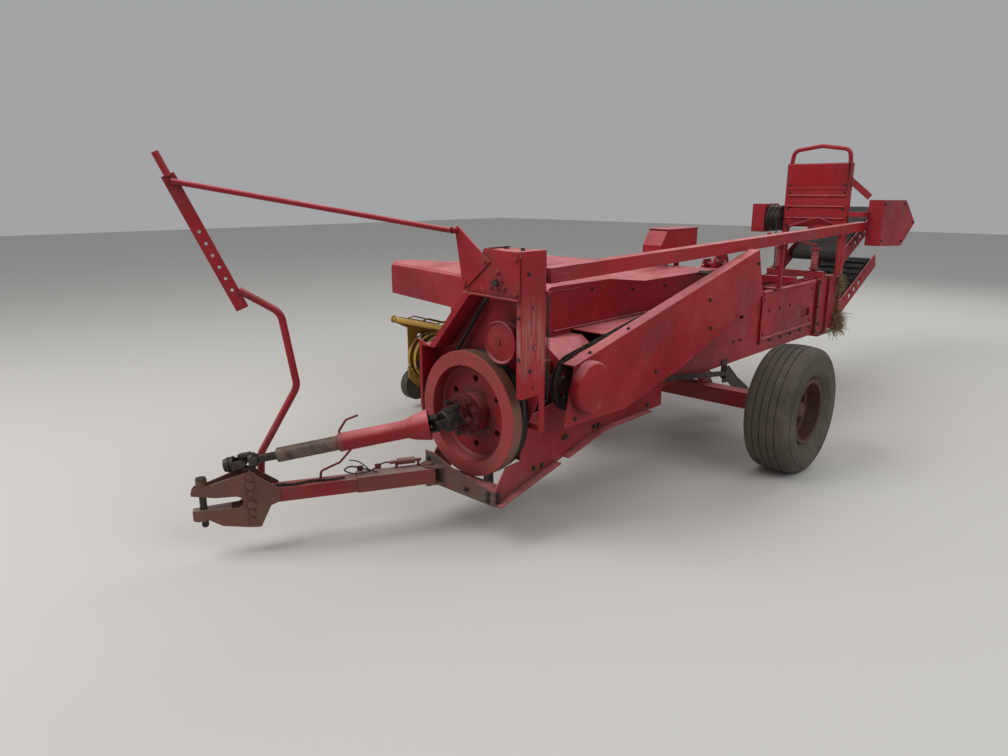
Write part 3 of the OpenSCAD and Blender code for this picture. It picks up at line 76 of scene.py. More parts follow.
# ---------------------------------------------------------------- materials
class Graph:
    """A few words for building a Principled material's nodes."""

    def __init__(self, name):
        self.mat = bpy.data.materials.new(name)
        self.mat.use_nodes = True
        self.tree = self.mat.node_tree
        self.bsdf = self.tree.nodes["Principled BSDF"]

    def put(self, socket, value):
        if isinstance(value, bpy.types.NodeSocket):
            self.tree.links.new(value, socket)
        else:
            socket.default_value = value

    def node(self, kind, inputs=(), **props):
        n = self.tree.nodes.new(kind)
        for k, v in props.items():
            setattr(n, k, v)
        for k, v in dict(inputs).items():
            self.put(n.inputs[k], v)
        return n

    def coords(self):
        return self.node("ShaderNodeTexCoord").outputs["Object"]

    def stretch(self, co, scale):
        return self.node("ShaderNodeMapping", {"Vector": co, "Scale": scale}).outputs["Vector"]

    def ramp(self, value, lo, hi, to_lo=0.0, to_hi=1.0):
        """From to_lo to to_hi while value goes from lo to hi, and level beyond them."""
        return self.node("ShaderNodeMapRange", {"Value": value, "From Min": lo, "From Max": hi,
                                                "To Min": to_lo, "To Max": to_hi}).outputs["Result"]

    def noise(self, co, scale, lo, hi, detail=5.0, rough=0.55):
        """Patches of noise: 0 where it is under lo, 1 where it is over hi."""
        n = self.node("ShaderNodeTexNoise",
                      {"Vector": co, "Scale": scale, "Detail": detail, "Roughness": rough})
        return self.ramp(n.outputs["Fac"], lo, hi)

    def calc(self, operation, a, b):
        return self.node("ShaderNodeMath", {0: a, 1: b}, operation=operation, use_clamp=True).outputs[0]

    def vector(self, operation, a, b, output):
        return self.node("ShaderNodeVectorMath", {0: a, 1: b}, operation=operation).outputs[output]

    def times(self, *factors):
        product = factors[0]
        for factor in factors[1:]:
            product = self.calc("MULTIPLY", product, factor)
        return product

    def mix(self, factor, a, b):
        """Colour a where factor is 0, b where it is 1. A mix node's colours are its sockets 6, 7 and 2."""
        n = self.node("ShaderNodeMix", data_type="RGBA")
        for i, v in ((0, factor), (6, a), (7, b)):
            self.put(n.inputs[i], v)
        return n.outputs[2]

    def rounded(self, radius):
        """The normal with sharp edges rounded off."""
        return self.node("ShaderNodeBevel", {"Radius": radius}, samples=4).outputs["Normal"]

    def flat_normal(self):
        return self.node("ShaderNodeNewGeometry").outputs["True Normal"]

    def edges(self, radius):
        """1 on sharp edges, 0 on flat ground."""
        dot = self.vector("DOT_PRODUCT", self.rounded(radius), self.flat_normal(), "Value")
        return self.ramp(dot, 0.98, 0.75)

    def recess(self, reach):
        """1 in corners and under ledges, 0 in the open: the mask of painted shade."""
        n = self.node("ShaderNodeAmbientOcclusion", {"Distance": reach}, samples=4)
        return self.ramp(n.outputs["AO"], 0.95, 0.55)

    def upward(self, lo, hi):
        """1 on faces that look at the sky, 0 on upright ones."""
        return self.ramp(self.vector("DOT_PRODUCT", self.flat_normal(), UP, "Value"), lo, hi)

    def along(self, co, origin, direction, lo, hi):
        """From 0 to 1 between two distances in millimetres, from origin along a direction."""
        offset = self.vector("SUBTRACT", co, row(origin), "Vector")
        far = self.vector("DOT_PRODUCT", offset, direction, "Value")
        return self.ramp(far, lo / 1000, hi / 1000)

    def height(self, co, lo, hi):
        return self.along(co, (0, 0, 0), UP, lo, hi)

    def radius(self, co, centre, lo, hi):
        """From 0 to 1 between two distances in millimetres, from the Y axis through centre."""
        offset = self.vector("SUBTRACT", co, row(centre), "Vector")
        flat = self.vector("MULTIPLY", offset, (1, 0, 1), "Vector")
        far = self.node("ShaderNodeVectorMath", {0: flat}, operation="LENGTH").outputs["Value"]
        return self.ramp(far, lo / 1000, hi / 1000)

    def relief(self, value, distance, normal=None):
        """Bumps by value, over a normal that may be rounded."""
        n = self.node("ShaderNodeBump", {"Height": value, "Distance": distance, "Strength": 1.0})
        if normal:
            self.put(n.inputs["Normal"], normal)
        self.put(self.bsdf.inputs["Normal"], n.outputs["Normal"])


def rgb(*c):
    return (*c, 1.0)


# Linear colours. RED and YELLOW are enamel as base, deep, faded and chalky; the chalky one is also the colour of
# painted sky light, laid on faces that look upward
# Dark brown of painted shade, for corners and under ledges
RECESS_SHADE_COLOUR = rgb(0.055, 0.022, 0.018)
RUST = rgb(0.095, 0.035, 0.020)
MUD = rgb(0.17, 0.120, 0.085)
GREASE = rgb(0.016, 0.012, 0.011)
WORN = rgb(0.115, 0.085, 0.068)
RED = (rgb(0.35, 0.010, 0.018), rgb(0.21, 0.006, 0.012),
       rgb(0.42, 0.032, 0.042), rgb(0.74, 0.240, 0.250))
YELLOW = (rgb(0.50, 0.285, 0.030), rgb(0.36, 0.190, 0.026),
          rgb(0.56, 0.36, 0.080), rgb(0.60, 0.44, 0.19))
RUSTY_RED = (rgb(0.17, 0.070, 0.048), rgb(0.105, 0.040, 0.028),
             rgb(0.22, 0.045, 0.038), rgb(0.30, 0.22, 0.19))


def paint(name, colours=RED, wear=0.55, mud=0.55, top_chalk_and_light=0.85, over=None):
    """Old enamel: faded, chalky and paler where it faces the sky (partly real chalking, partly painted sky light),
    rusty at edges and chips, muddy low down.
    """
    base, deep, faded, chalk_and_lit_tone = colours
    g = Graph(name)
    co = g.coords()
    colour = g.mix(g.noise(co, 1.3, 0.36, 0.66, 6), base, deep)
    colour = g.mix(g.times(g.noise(co, 3.4, 0.48, 0.74, 7, 0.62), 0.5), colour, faded)
    runs = g.noise(g.stretch(co, (24, 24, 0.8)), 1.7, 0.58, 0.82, 5)
    colour = g.mix(g.times(runs, 0.08), colour, chalk_and_lit_tone)
    # Painted sky light: faces that look upward are made paler in the chalk colour, partly real chalking of the
    # enamel, partly painted light
    up = g.times(g.upward(0.30, 0.90), g.noise(co, 4, 0.15, 0.55, 6))
    colour = g.mix(g.times(up, top_chalk_and_light), colour, chalk_and_lit_tone)
    grime = g.noise(co, 2.6, 0.52, 0.80, 8, 0.66)
    colour = g.mix(g.times(grime, 0.42), colour, WORN)
    scratch = g.noise(g.stretch(co, (9, 1.2, 9)), 9, 0.64, 0.72, 6, 0.7)
    colour = g.mix(g.times(scratch, 0.45), colour, faded)
    scuffs = g.noise(g.stretch(co, (5, 2, 5)), 2.2, 0.62, 0.70, 9, 0.75)
    colour = g.mix(g.times(scuffs, 0.30), colour, chalk_and_lit_tone)
    # Painted shade: dark patches in corners and under ledges, from an occlusion mask broken up by noise
    recess_shade = g.times(g.recess(0.05), g.noise(co, 11, 0.30, 0.60, 8, 0.7))
    colour = g.mix(g.times(recess_shade, 0.75), colour, RECESS_SHADE_COLOUR)
    if over:
        colour = over(g, co, colour)
    chips = g.noise(co, 24, 0.690, 0.705, 9, 0.75)
    edge = g.times(g.edges(0.005), g.noise(co, 17, 0.44, 0.64, 8, 0.7))
    bare = g.times(g.calc("MAXIMUM", chips, edge), wear)
    colour = g.mix(bare, colour, RUST)
    low = g.times(g.height(co, 700, 150), g.noise(co, 6, 0.38, 0.66, 9, 0.7))
    colour = g.mix(g.times(low, mud), colour, MUD)
    g.put(g.bsdf.inputs["Base Color"], colour)
    g.put(g.bsdf.inputs["Specular IOR Level"], 0.30)
    rough = g.ramp(g.noise(co, 12, 0.3, 0.7, 5), 0, 1, 0.42, 0.62)
    g.put(g.bsdf.inputs["Roughness"], g.calc("MAXIMUM", rough, g.calc("MAXIMUM", bare, low)))
    uneven = g.calc("ADD", g.times(bare, 0.5), g.times(g.noise(co, 90, 0, 1, 3), 0.2))
    g.relief(uneven, 0.0012, g.rounded(0.003))
    return g.mat


def metal(name, base, dark, rusty, rust=0.5, shine=0.6, rough=(0.4, 0.75), over=None):
    """Bare, greasy or rusty iron."""
    g = Graph(name)
    co = g.coords()
    colour = g.mix(g.noise(co, 5, 0.3, 0.7, 7), base, dark)
    spots = g.noise(co, 28, 0.45, 0.62, 9, 0.75)
    colour = g.mix(g.times(spots, rust), colour, rusty)
    if over:
        colour = over(g, co, colour)
    g.put(g.bsdf.inputs["Base Color"], colour)
    g.put(g.bsdf.inputs["Metallic"], g.ramp(spots, 0, 1, shine, 0.05))
    g.put(g.bsdf.inputs["Roughness"], g.ramp(spots, 0, 1, *rough))
    g.relief(g.noise(co, 110, 0, 1, 5, 0.7), 0.0008, g.rounded(0.002))
    return g.mat


def rubber(name, base, dust, dusty=0.6):
    """Dusty, finely cracked rubber."""
    g = Graph(name)
    co = g.coords()
    colour = g.mix(g.noise(co, 2.4, 0.35, 0.7, 8, 0.65), base, dust)
    colour = g.mix(g.times(g.noise(co, 26, 0.5, 0.7, 8, 0.7), dusty), colour, dust)
    colour = g.mix(g.times(g.noise(co, 55, 0.66, 0.72, 8, 0.7), 0.6), colour, GREASE)
    g.put(g.bsdf.inputs["Base Color"], colour)
    g.put(g.bsdf.inputs["Specular IOR Level"], 0.3)
    g.put(g.bsdf.inputs["Roughness"], g.ramp(g.noise(co, 9, 0.3, 0.7), 0, 1, 0.72, 0.92))
    g.relief(g.noise(co, 140, 0, 1, 8, 0.7), 0.0010)
    return g.mat


def straw(name):
    """Dry hay, in two browns."""
    g = Graph(name)
    co = g.coords()
    colour = g.mix(g.noise(co, 60, 0.35, 0.65, 4), rgb(0.36, 0.26, 0.12), rgb(0.17, 0.125, 0.065))
    g.put(g.bsdf.inputs["Base Color"], colour)
    g.put(g.bsdf.inputs["Roughness"], g.ramp(g.noise(co, 30, 0.3, 0.7), 0, 1, 0.75, 0.95))
    return g.mat


def worn_front(g, co, colour):
    """The front beam's plate and top, rubbed bare and grey with dust."""
    ahead = g.along(co, (0, -1900, 0), FRONT, 60, 76)
    worn = g.times(ahead, g.height(co, 400, 370), g.noise(co, 9, 0.30, 0.52, 8, 0.7))
    return g.mix(g.times(worn, 0.92), colour, WORN)


def worn_tongue(g, co, colour):
    """Grey and dusty at the rear sleeve, brown rust towards the hitch."""
    forward = on_tongue(0, -1, 0) - on_tongue(0, 0, 0)
    rear = g.times(g.along(co, TONGUE_AT, forward, 520, 380), g.noise(co, 7, 0.25, 0.55, 8, 0.7))
    up = g.upward(0.2, 0.8)
    dusty = g.mix(up, rgb(0.16, 0.065, 0.050), rgb(0.30, 0.235, 0.20))
    colour = g.mix(g.times(rear, g.ramp(up, 0, 1, 0.55, 0.95)), colour, dusty)
    nose = g.times(g.along(co, TONGUE_AT, forward, 560, 800), g.noise(co, 8, 0.30, 0.60, 8, 0.7))
    return g.mix(g.times(nose, 0.8), colour, rgb(0.15, 0.055, 0.036))


def smeared(g, co, colour):
    """Pale runs of dirt down the middle of the belt channel."""
    band = g.times(g.height(co, 820, 960), g.height(co, 1220, 1080))
    smear = g.times(band, g.noise(g.stretch(co, (20, 20, 2.4)), 1.8, 0.42, 0.62, 8, 0.7))
    return g.mix(g.times(smear, 0.6), colour, rgb(0.33, 0.23, 0.20))


def wheel_bands(g, co, colour):
    """Flywheel: worn ring, greasy hub, brown rim side and black belt groove."""
    ring = g.radius(co, FLYWHEEL_AT, 236, 244)
    worn_ring = g.mix(g.noise(co, 6, 0.35, 0.65, 8, 0.7),
                      rgb(0.40, 0.052, 0.055), rgb(0.25, 0.060, 0.050))
    colour = g.mix(g.times(ring, 0.75), colour, worn_ring)
    hub_grease = g.times(g.radius(co, FLYWHEEL_AT, 175, 90), g.noise(co, 12, 0.40, 0.58, 8, 0.7))
    colour = g.mix(g.times(hub_grease, 0.85), colour, rgb(0.040, 0.022, 0.017))
    side = g.times(g.radius(co, FLYWHEEL_AT, 303, 307), g.along(co, FLYWHEEL_AT, BACK, 3, 9))
    colour = g.mix(g.times(side, g.noise(co, 5, 0.25, 0.55, 7)), colour, rgb(0.145, 0.085, 0.055))
    groove = g.times(g.radius(co, FLYWHEEL_AT, 272, 280), g.along(co, FLYWHEEL_AT, BACK, 62, 68))
    return g.mix(groove, colour, GREASE)


def guard_bands(g, co, colour):
    """Driveline guard: red bell and tube, then a bare tube in brown rust with greasy patches."""
    bare = g.along(co, DRIVELINE_AT, DRIVELINE_DIR, 415, 470)
    brown = g.mix(g.noise(co, 14, 0.42, 0.6, 8, 0.7),
                  rgb(0.13, 0.088, 0.066), rgb(0.045, 0.030, 0.026))
    return g.mix(bare, colour, brown)


def clutch_bands(g, co, colour):
    """Slip clutch: what is left of its red paint, ahead of the flywheel's plate."""
    red = g.times(g.along(co, FLYWHEEL_AT, BACK, -82, -76), g.noise(co, 11, 0.30, 0.52, 8, 0.7))
    return g.mix(g.times(red, 0.85), colour, rgb(0.17, 0.020, 0.024))


MAT = {
    "red_paint": paint("red_paint"),
    "yellow_paint": paint("yellow_paint", YELLOW, wear=0.95, mud=0.5, top_chalk_and_light=0.5),
    "worn_steel": metal("worn_steel", rgb(0.050, 0.042, 0.038), rgb(0.020, 0.017, 0.016),
                        rgb(0.085, 0.040, 0.026)),
    "rusty_rim": metal("rusty_rim", rgb(0.100, 0.038, 0.023), rgb(0.048, 0.018, 0.013),
                       rgb(0.14, 0.062, 0.038), rust=0.8, shine=0.1, rough=(0.65, 0.9)),
    "tyre_rubber": rubber("tyre_rubber", rgb(0.050, 0.042, 0.033), rgb(0.115, 0.095, 0.073)),
    "belt_rubber": rubber("belt_rubber", rgb(0.018, 0.017, 0.017), rgb(0.055, 0.050, 0.045), dusty=0.4),
}
STRAW = straw("straw")
SLOT_OF = {s["node"]: s["material_slot"] for s in frame["record"]["subparts"]}
# Nodes whose wear runs in bands or patches of their own
OWN_LOOK = {
    "main_frame": paint("front_frame_paint", mud=0.35, over=worn_front),
    "tongue": paint("tongue_paint", wear=0.8, mud=0.2, top_chalk_and_light=0.4, over=worn_tongue),
    "hitch_clevis": paint("hitch_paint", RUSTY_RED, wear=0.9, mud=0.35, top_chalk_and_light=0.7),
    "belt_channel": paint("channel_paint", mud=0.2, over=smeared),
    "flywheel": paint("flywheel_paint", mud=0.15, top_chalk_and_light=0.3, over=wheel_bands),
    "driveline_guard": paint("guard_paint", mud=0.1, over=guard_bands),
    "slip_clutch": metal("clutch_iron", rgb(0.030, 0.026, 0.024), rgb(0.014, 0.012, 0.012),
                         rgb(0.07, 0.035, 0.025), shine=0.4, over=clutch_bands),
}
for node_name, obj in frame["nodes"].items():
    obj.data.materials.clear()
    obj.data.materials.append(OWN_LOOK.get(node_name, MAT[SLOT_OF[node_name]]))


# ---------------------------------------------------------------- mesh words
def turned(n, first=0.0):
    """n even angles of a turn."""
    return [first + TURN * k / n for k in range(n)]


def spoke(a, r):
    """A point of the circle of radius r about the X axis."""
    return Vector((0, r * math.cos(a), r * math.sin(a)))


class Solids:
    """Gathers small closed solids, given in the machine frame's millimetres, into one piece."""

    def __init__(self):
        self.verts, self.faces = [], []

    def add(self, verts, faces):
        first = len(self.verts)
        self.verts += [Vector(v) for v in verts]
        self.faces += [[first + i for i in f] for f in faces]

    def rings(self, rings, closed=False):
        """Skin over rings of points with equal counts, capped unless it closes on itself."""
        n, count = len(rings[0]), len(rings)
        faces = []
        for i in range(count if closed else count - 1):
            a, b = i * n, (i + 1) % count * n
            faces += [[a + k, a + (k + 1) % n, b + (k + 1) % n, b + k] for k in range(n)]
        if not closed:
            faces += [list(range(n))[::-1], [(count - 1) * n + k for k in range(n)]]
        self.add([p for ring in rings for p in ring], faces)

    def lathe(self, at, axis, profile, n, closed=False):
        """A profile of (radius, distance along the axis), turned in n steps about the axis through at."""
        at, axis = Vector(at), Vector(axis).normalized()
        side = axis.orthogonal().normalized()
        over = axis.cross(side)
        spokes = [side * math.cos(a) + over * math.sin(a) for a in turned(n)]
        self.rings([[at + axis * z + s * r for s in spokes] for r, z in profile], closed)

    def bolt(self, at, axis, af):
        """A bolt head with its washer, af across the flats."""
        washer_r, corner_r = af * 0.70, af / math.sqrt(3)
        self.lathe(at, axis, [(washer_r, -1), (washer_r, 2.5), (af * 0.45, 2.6)], 14)
        self.lathe(Vector(at) + Vector(axis) * 2, axis,
                   [(corner_r, 0), (corner_r, af * 0.5), (corner_r * 0.86, af * 0.6)], 6)

    def tube(self, points, r, n, closed=False):
        """A round rod of n sides along points."""
        pts = [Vector(p) for p in points]
        count = len(pts)
        before = [pts[i - 1] if i or closed else pts[0] for i in range(count)]
        after = [pts[(i + 1) % count] if i < count - 1 or closed else pts[-1] for i in range(count)]
        lean = (after[0] - before[0]).orthogonal().normalized()
        rings = []
        for back, p, ahead in zip(before, pts, after):
            t = (ahead - back).normalized()
            lean = (lean - t * lean.dot(t)).normalized()
            over = t.cross(lean)
            rings.append([p + (lean * math.cos(a) + over * math.sin(a)) * r for a in turned(n)])
        self.rings(rings, closed)

    def plate(self, outline, axis, thick):
        """A flat outline of points pushed along an axis."""
        near = [Vector(p) for p in outline]
        self.rings([near, [p + Vector(axis) * thick for p in near]])

    def piece(self, name, material, body="chassis", smooth=30):
        """The gathered solids as one object that rides on body, smooth up to an angle in degrees."""
        mesh = bpy.data.meshes.new(name)
        mesh.from_pydata([row(v) for v in self.verts], [], self.faces)
        made = bpy.data.objects.new(name, mesh)
        bpy.context.collection.objects.link(made)
        bpy.context.view_layer.objects.active = made
        made.select_set(True)
        bpy.ops.object.mode_set(mode="EDIT")
        bpy.ops.mesh.select_all(action="SELECT")
        bpy.ops.mesh.normals_make_consistent(inside=False)
        bpy.ops.object.mode_set(mode="OBJECT")
        bpy.ops.object.shade_smooth_by_angle(angle=math.radians(smooth))
        made.select_set(False)
        mesh.materials.append(material)
        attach(made, body)
        return made


def between(a, b, n):
    """n + 1 even points from a to b."""
    return [Vector(a).lerp(Vector(b), i / n) for i in range(n + 1)]


def smooth_path(points, steps=6):
    """A Catmull-Rom curve through the points."""
    pts = [Vector(p) for p in points]
    pts = [pts[0] * 2 - pts[1]] + pts + [pts[-1] * 2 - pts[-2]]
    path = []
    for a, b, c, d in zip(pts, pts[1:], pts[2:], pts[3:]):
        for i in range(steps):
            t = i / steps
            path.append(((b * 2) + (c - a) * t + (a * 2 - b * 5 + c * 4 - d) * t * t
                         + (b * 3 - a - c * 3 + d) * t * t * t) / 2)
    return path + [pts[-2]]


# ---------------------------------------------------------------- camera, light and floor
camera = bpy.data.objects.new("camera", bpy.data.cameras.new("camera"))
bpy.context.collection.objects.link(camera)
camera.location = row((2450, -4237, 1650))
camera.rotation_euler = (math.radians(75.6), 0, math.radians(43.5))
camera.data.lens = 26.0
camera.data.sensor_width = 36.0
camera.data.clip_end = 200
bpy.context.scene.camera = camera


def lamp(name, where, target, power, tint=(1, 1, 1)):
    """A soft square lamp of 5 m, in the row frame's metres."""
    data = bpy.data.lights.new(name, "AREA")
    data.shape = "SQUARE"
    data.size, data.energy, data.color = 5.0, power, tint
    lamp_obj = bpy.data.objects.new(name, data)
    bpy.context.collection.objects.link(lamp_obj)
    lamp_obj.location = where
    lamp_obj.rotation_euler = (Vector(target) - Vector(where)).to_track_quat("-Z", "Y").to_euler()


lamp("key", (-2.5, -6.5, 7.0), (0.2, -0.5, 0.6), 430, (1.0, 0.985, 0.96))
lamp("fill", (7.5, -1.5, 5.5), (0.4, 0.0, 0.7), 210, (0.95, 0.98, 1.0))
lamp("back", (0.0, 7.5, 6.0), (0.2, 0.5, 0.8), 190)

world = bpy.data.worlds.new("studio")
bpy.context.scene.world = world
world.use_nodes = True
sky = world.node_tree.nodes["Background"].inputs
sky["Color"].default_value = rgb(0.86, 0.88, 0.90)
sky["Strength"].default_value = 0.42
bpy.context.scene.view_settings.view_transform = "Standard"

FLOOR = 30
floor_mesh = bpy.data.meshes.new("floor")
floor_mesh.from_pydata([(-FLOOR, -FLOOR, 0), (FLOOR, -FLOOR, 0), (FLOOR, FLOOR, 0), (-FLOOR, FLOOR, 0)],
                       [], [(0, 1, 2, 3)])
floor = bpy.data.objects.new("floor", floor_mesh)
bpy.context.collection.objects.link(floor)
ground = Graph("floor")
ground.put(ground.bsdf.inputs["Base Color"], rgb(0.62, 0.60, 0.57))
ground.put(ground.bsdf.inputs["Roughness"], 0.9)
floor_mesh.materials.append(ground.mat)


# ---------------------------------------------------------------- wheels
# Half of the tyre's section as (radius, distance from the middle), from the tread's edge to the bead
TREAD_HALF, CROWN = 98, 8
TYRE_SIDE = [(TYRE_R - CROWN, TREAD_HALF), (371, 112), (360, 124), (340, 133), (312, 138), (284, 139.5),
             (258, 137), (236, 129), (219, 115), (205, 98), (194, 88), (184, 86)]
GROOVES = (-64, -22, 22, 64)
GROOVE_DEEP, GROOVE_HALF = 6, 3
GROOVE_EDGES = (-3.6, -2.4, 2.4, 3.6)
TREAD_X = [-80, -43, 0, 43, 80]
SIDE_RINGS = ((330, 136.5), (244, 132.5))
DISC_IN, HUB_END = 10, 34
LUG_CIRCLE_R, DISC_CIRCLE_R = 84, 138


def crown(x):
    """The tread's radius at a distance from the tyre's middle."""
    return TYRE_R - CROWN * (x / TREAD_HALF) ** 2


def in_groove(x):
    return min(abs(x - g) for g in GROOVES) < GROOVE_HALF


def tyre(name, node, body, centre):
    """A worn implement tyre with four thin grooves and a rounded crown."""
    tread = sorted(TREAD_X + [g + d for g in GROOVES for d in GROOVE_EDGES])
    top = [(crown(x) - (GROOVE_DEEP if in_groove(x) else 0), x) for x in tread]
    side = [(p.x, p.y) for p in smooth_path([(r, x, 0) for r, x in TYRE_SIDE], 3)]
    profile = [(r, -x) for r, x in side[::-1]] + top + side
    s = Solids()
    s.lathe(centre, LEFT, profile, 120, closed=True)
    # Moulded rings on both sidewalls
    for sign in (-1, 1):
        for r, x in SIDE_RINGS:
            ring = [(r + 3 * math.cos(a), sign * (x + 2.4 * math.sin(a))) for a in turned(6)]
            s.lathe(centre, LEFT, ring, 120, closed=True)
    made = s.piece(name, MAT["tyre_rubber"], body, smooth=38)
    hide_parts(node)


def hub(name, body, centre, out):
    """Lug nuts on studs, small bolts, dust cap and valve on the dished disc; out is the way outboard."""
    s = Solids()
    disc = centre - out * DISC_IN
    for a in turned(8, 0.2):
        at = disc + spoke(a, LUG_CIRCLE_R)
        s.bolt(at, out, 24)
        s.lathe(at, out, [(7, 10), (7, 24), (5, 26)], 10)
    for a in turned(12):
        s.bolt(disc + spoke(a, DISC_CIRCLE_R), out, 16)
    s.lathe(centre + out * HUB_END, out, [(52, 0), (52, 14), (44, 30), (26, 40), (8, 44), (2, 44.5)], 28)
    valve = disc + Vector((0, 20, 152))
    s.tube(between(valve, valve + out * 34, 2), 5, 8)
    s.piece(name, MAT["rusty_rim"], body)


tyre("left_tyre_looks", "left_tyre", "left_wheel", LEFT_WHEEL)
tyre("right_tyre_looks", "right_tyre", "right_wheel", RIGHT_WHEEL)
hub("left_hub_bolts", "left_wheel", LEFT_WHEEL, LEFT)
hub("right_hub_bolts", "right_wheel", RIGHT_WHEEL, -LEFT)

# ---------------------------------------------------------------- fasteners
# Faces that carry bolts, as distances along X, and the front beam's face along Y
CHANNEL_X, SHIELD_X, PLATE_X, HOOD_X, CASE_X, GUARD_X = 380, 400, 242.5, 20, 235, 460
BEAM_Y = -1980


def on_side(x, af, places):
    """Bolts on a left-hand face, at (y, z)."""
    return [((x, y, z), LEFT, af) for y, z in places]


# Bolt heads as (point, axis, width across the flats), by what they hold
BOLTS = {
    "belt_tower": [((200, -1850, 1402), UP, 16), ((330, -1885, 1402), UP, 16)]
                  + on_side(CHANNEL_X, 13, [(-1902, 1305), (-1890, 877)])
                  + [((363, -1945, z), FRONT, 13) for z in (1120, 935)],
    "drive_shield": [((375, -1445, 888), UP, 13), ((375, -1120, 963), UP, 13)]
                    + on_side(SHIELD_X, 16, [(-1575, 820), (-1583, 590), (-320, 1030), (-290, 860),
                                             (290, 1200), (-880, 700)]),
    "frame_plates": on_side(PLATE_X, 19, [(-1955, 238), (-1955, 268), (-1700, 330), (-1640, 330),
                                          (-1470, 430), (-1450, 430), (-1215, 430), (-1175, 430),
                                          (-1160, 600), (-1460, 600), (-700, 560), (-700, 440)]),
    "hood": on_side(HOOD_X, 13, [(-965, 1125), (-560, 1085), (-200, 1075), (300, 1065), (480, 960)]),
    "case": on_side(CASE_X, 16, [(y, 585) for y in range(760, 2240, 185)]
                    + [(y, 940) for y in range(960, 2240, 210)]),
    "thrower": [((x, 2330, z), FRONT, 16) for x in (-295, 175) for z in (1360, 1500, 1640, 1700, 1850)],
    "rear_guard": on_side(GUARD_X, 16, [(2490, 1240), (2490, 1540), (3040, 1540), (3040, 1215),
                                        (3340, 1370)]),
    "front_beam": [((x, BEAM_Y, z), FRONT, 19)
                   for x, z in ((205, 235), (205, 268), (60, 250), (-205, 250), (-215, 340))],
}
for held, bolts in BOLTS.items():
    heads = Solids()
    for at, axis, af in bolts:
        heads.bolt(at, axis, af)
    heads.piece(held + "_bolts", MAT["worn_steel"])

# ---------------------------------------------------------------- front end
# Coil spring of the clutch lever, from its hanger on the channel down to a lug on the strap
SPRING_X, SPRING_Y, SPRING_TOP, SPRING_LOW = 386, -1774, 1198, 752
COILS, COIL_R, COIL_STEPS = 48, 8.6, 12
spring = Solids()
coil = []
for i in range(COILS * COIL_STEPS + 1):
    a = TURN * i / COIL_STEPS
    coil.append((SPRING_X + COIL_R * math.cos(a), SPRING_Y + COIL_R * math.sin(a),
                 SPRING_TOP + (SPRING_LOW - SPRING_TOP) * i / (COILS * COIL_STEPS)))
spring.tube(coil, 2.0, 5)
spring.tube([(SPRING_X, SPRING_Y, z) for z in (SPRING_TOP - 4, 1206, 1212)], 2.2, 6)
spring.tube([(SPRING_X, SPRING_Y, SPRING_LOW + 4), (SPRING_X, SPRING_Y, 738),
             (SPRING_X + 2, SPRING_Y - 6, 724), (SPRING_X - 2, SPRING_Y - 12, 720), (379, -1790, 726)],
            2.6, 6)
spring.piece("lever_spring", MAT["worn_steel"])

# Rounded cap over the shield's round boss
BOSS_R, BOSS_DEEP, BOSS_ROUND = 126, 38, 20
boss = Solids()
rounding = [(BOSS_R - BOSS_ROUND + BOSS_ROUND * math.cos(a), BOSS_DEEP + BOSS_ROUND * math.sin(a))
            for a in (0.35, 0.7, 1.05, 1.4)]
boss.lathe((SHIELD_X, -1500, 740), LEFT,
           [(BOSS_R - 5, -1), (BOSS_R, 6), (BOSS_R, BOSS_DEEP)] + rounding + [(60, 58.5), (20, 58.5)], 56)
boss.piece("shield_boss", MAT["red_paint"], smooth=50)

# Beads on the hood's left panel: the long fold over its lower edge and the short seam near the top
hood = Solids()
hood.tube(between((21, -1300, 928), (21, -250, 928), 4), 6, 10)
hood.tube(between((20, -1325, 1142), (20, -1092, 1139), 3), 3.5, 8)
hood.piece("hood_beads", MAT["red_paint"])

# Safety chain that lies along the tongue, its route as (x, y) of the tongue's frame
CHAIN_ROUTE = [(26, -842), (10, -760), (22, -690), (6, -610), (18, -530), (12, -460)]
CHAIN_WIRE, LINK_LONG, LINK_WIDE = 2.6, 13, 7
chain = Solids()
run = smooth_path([on_tongue(x, y, TONGUE_TOP + 4) for x, y in CHAIN_ROUTE], 5)
for i, (a, b) in enumerate(zip(run, run[1:])):
    along = (b - a).normalized()
    flat = along.cross(UP) if i % 2 else (along.cross(UP) * 0.75 + UP * 0.66).normalized()
    middle = (a + b) / 2
    link = [middle + along * LINK_LONG * math.cos(t) + flat * LINK_WIDE * math.sin(t) for t in turned(12)]
    chain.tube(link, CHAIN_WIRE, 6, closed=True)
chain.piece("safety_chain", MAT["worn_steel"])

# Steel line bent from the latch cylinder over the sleeve, and the wire hook that stands beside it
LINE = [(-30, -226, 348), (-22, -262, 352), (4, -330, 330), (14, -400, 326), (-6, -452, 342),
        (-24, -420, 352), (-8, -360, 340), (20, -300, 326)]
HOOK = [(6, -330, 322), (18, -346, 352), (26, -388, 392), (24, -430, 404)]
line = Solids()
for route, wire_r, sides in ((LINE, 4, 8), (HOOK, 3, 6)):
    line.tube(smooth_path([on_tongue(*p) for p in route]), wire_r, sides)
line.piece("latch_line", MAT["worn_steel"])

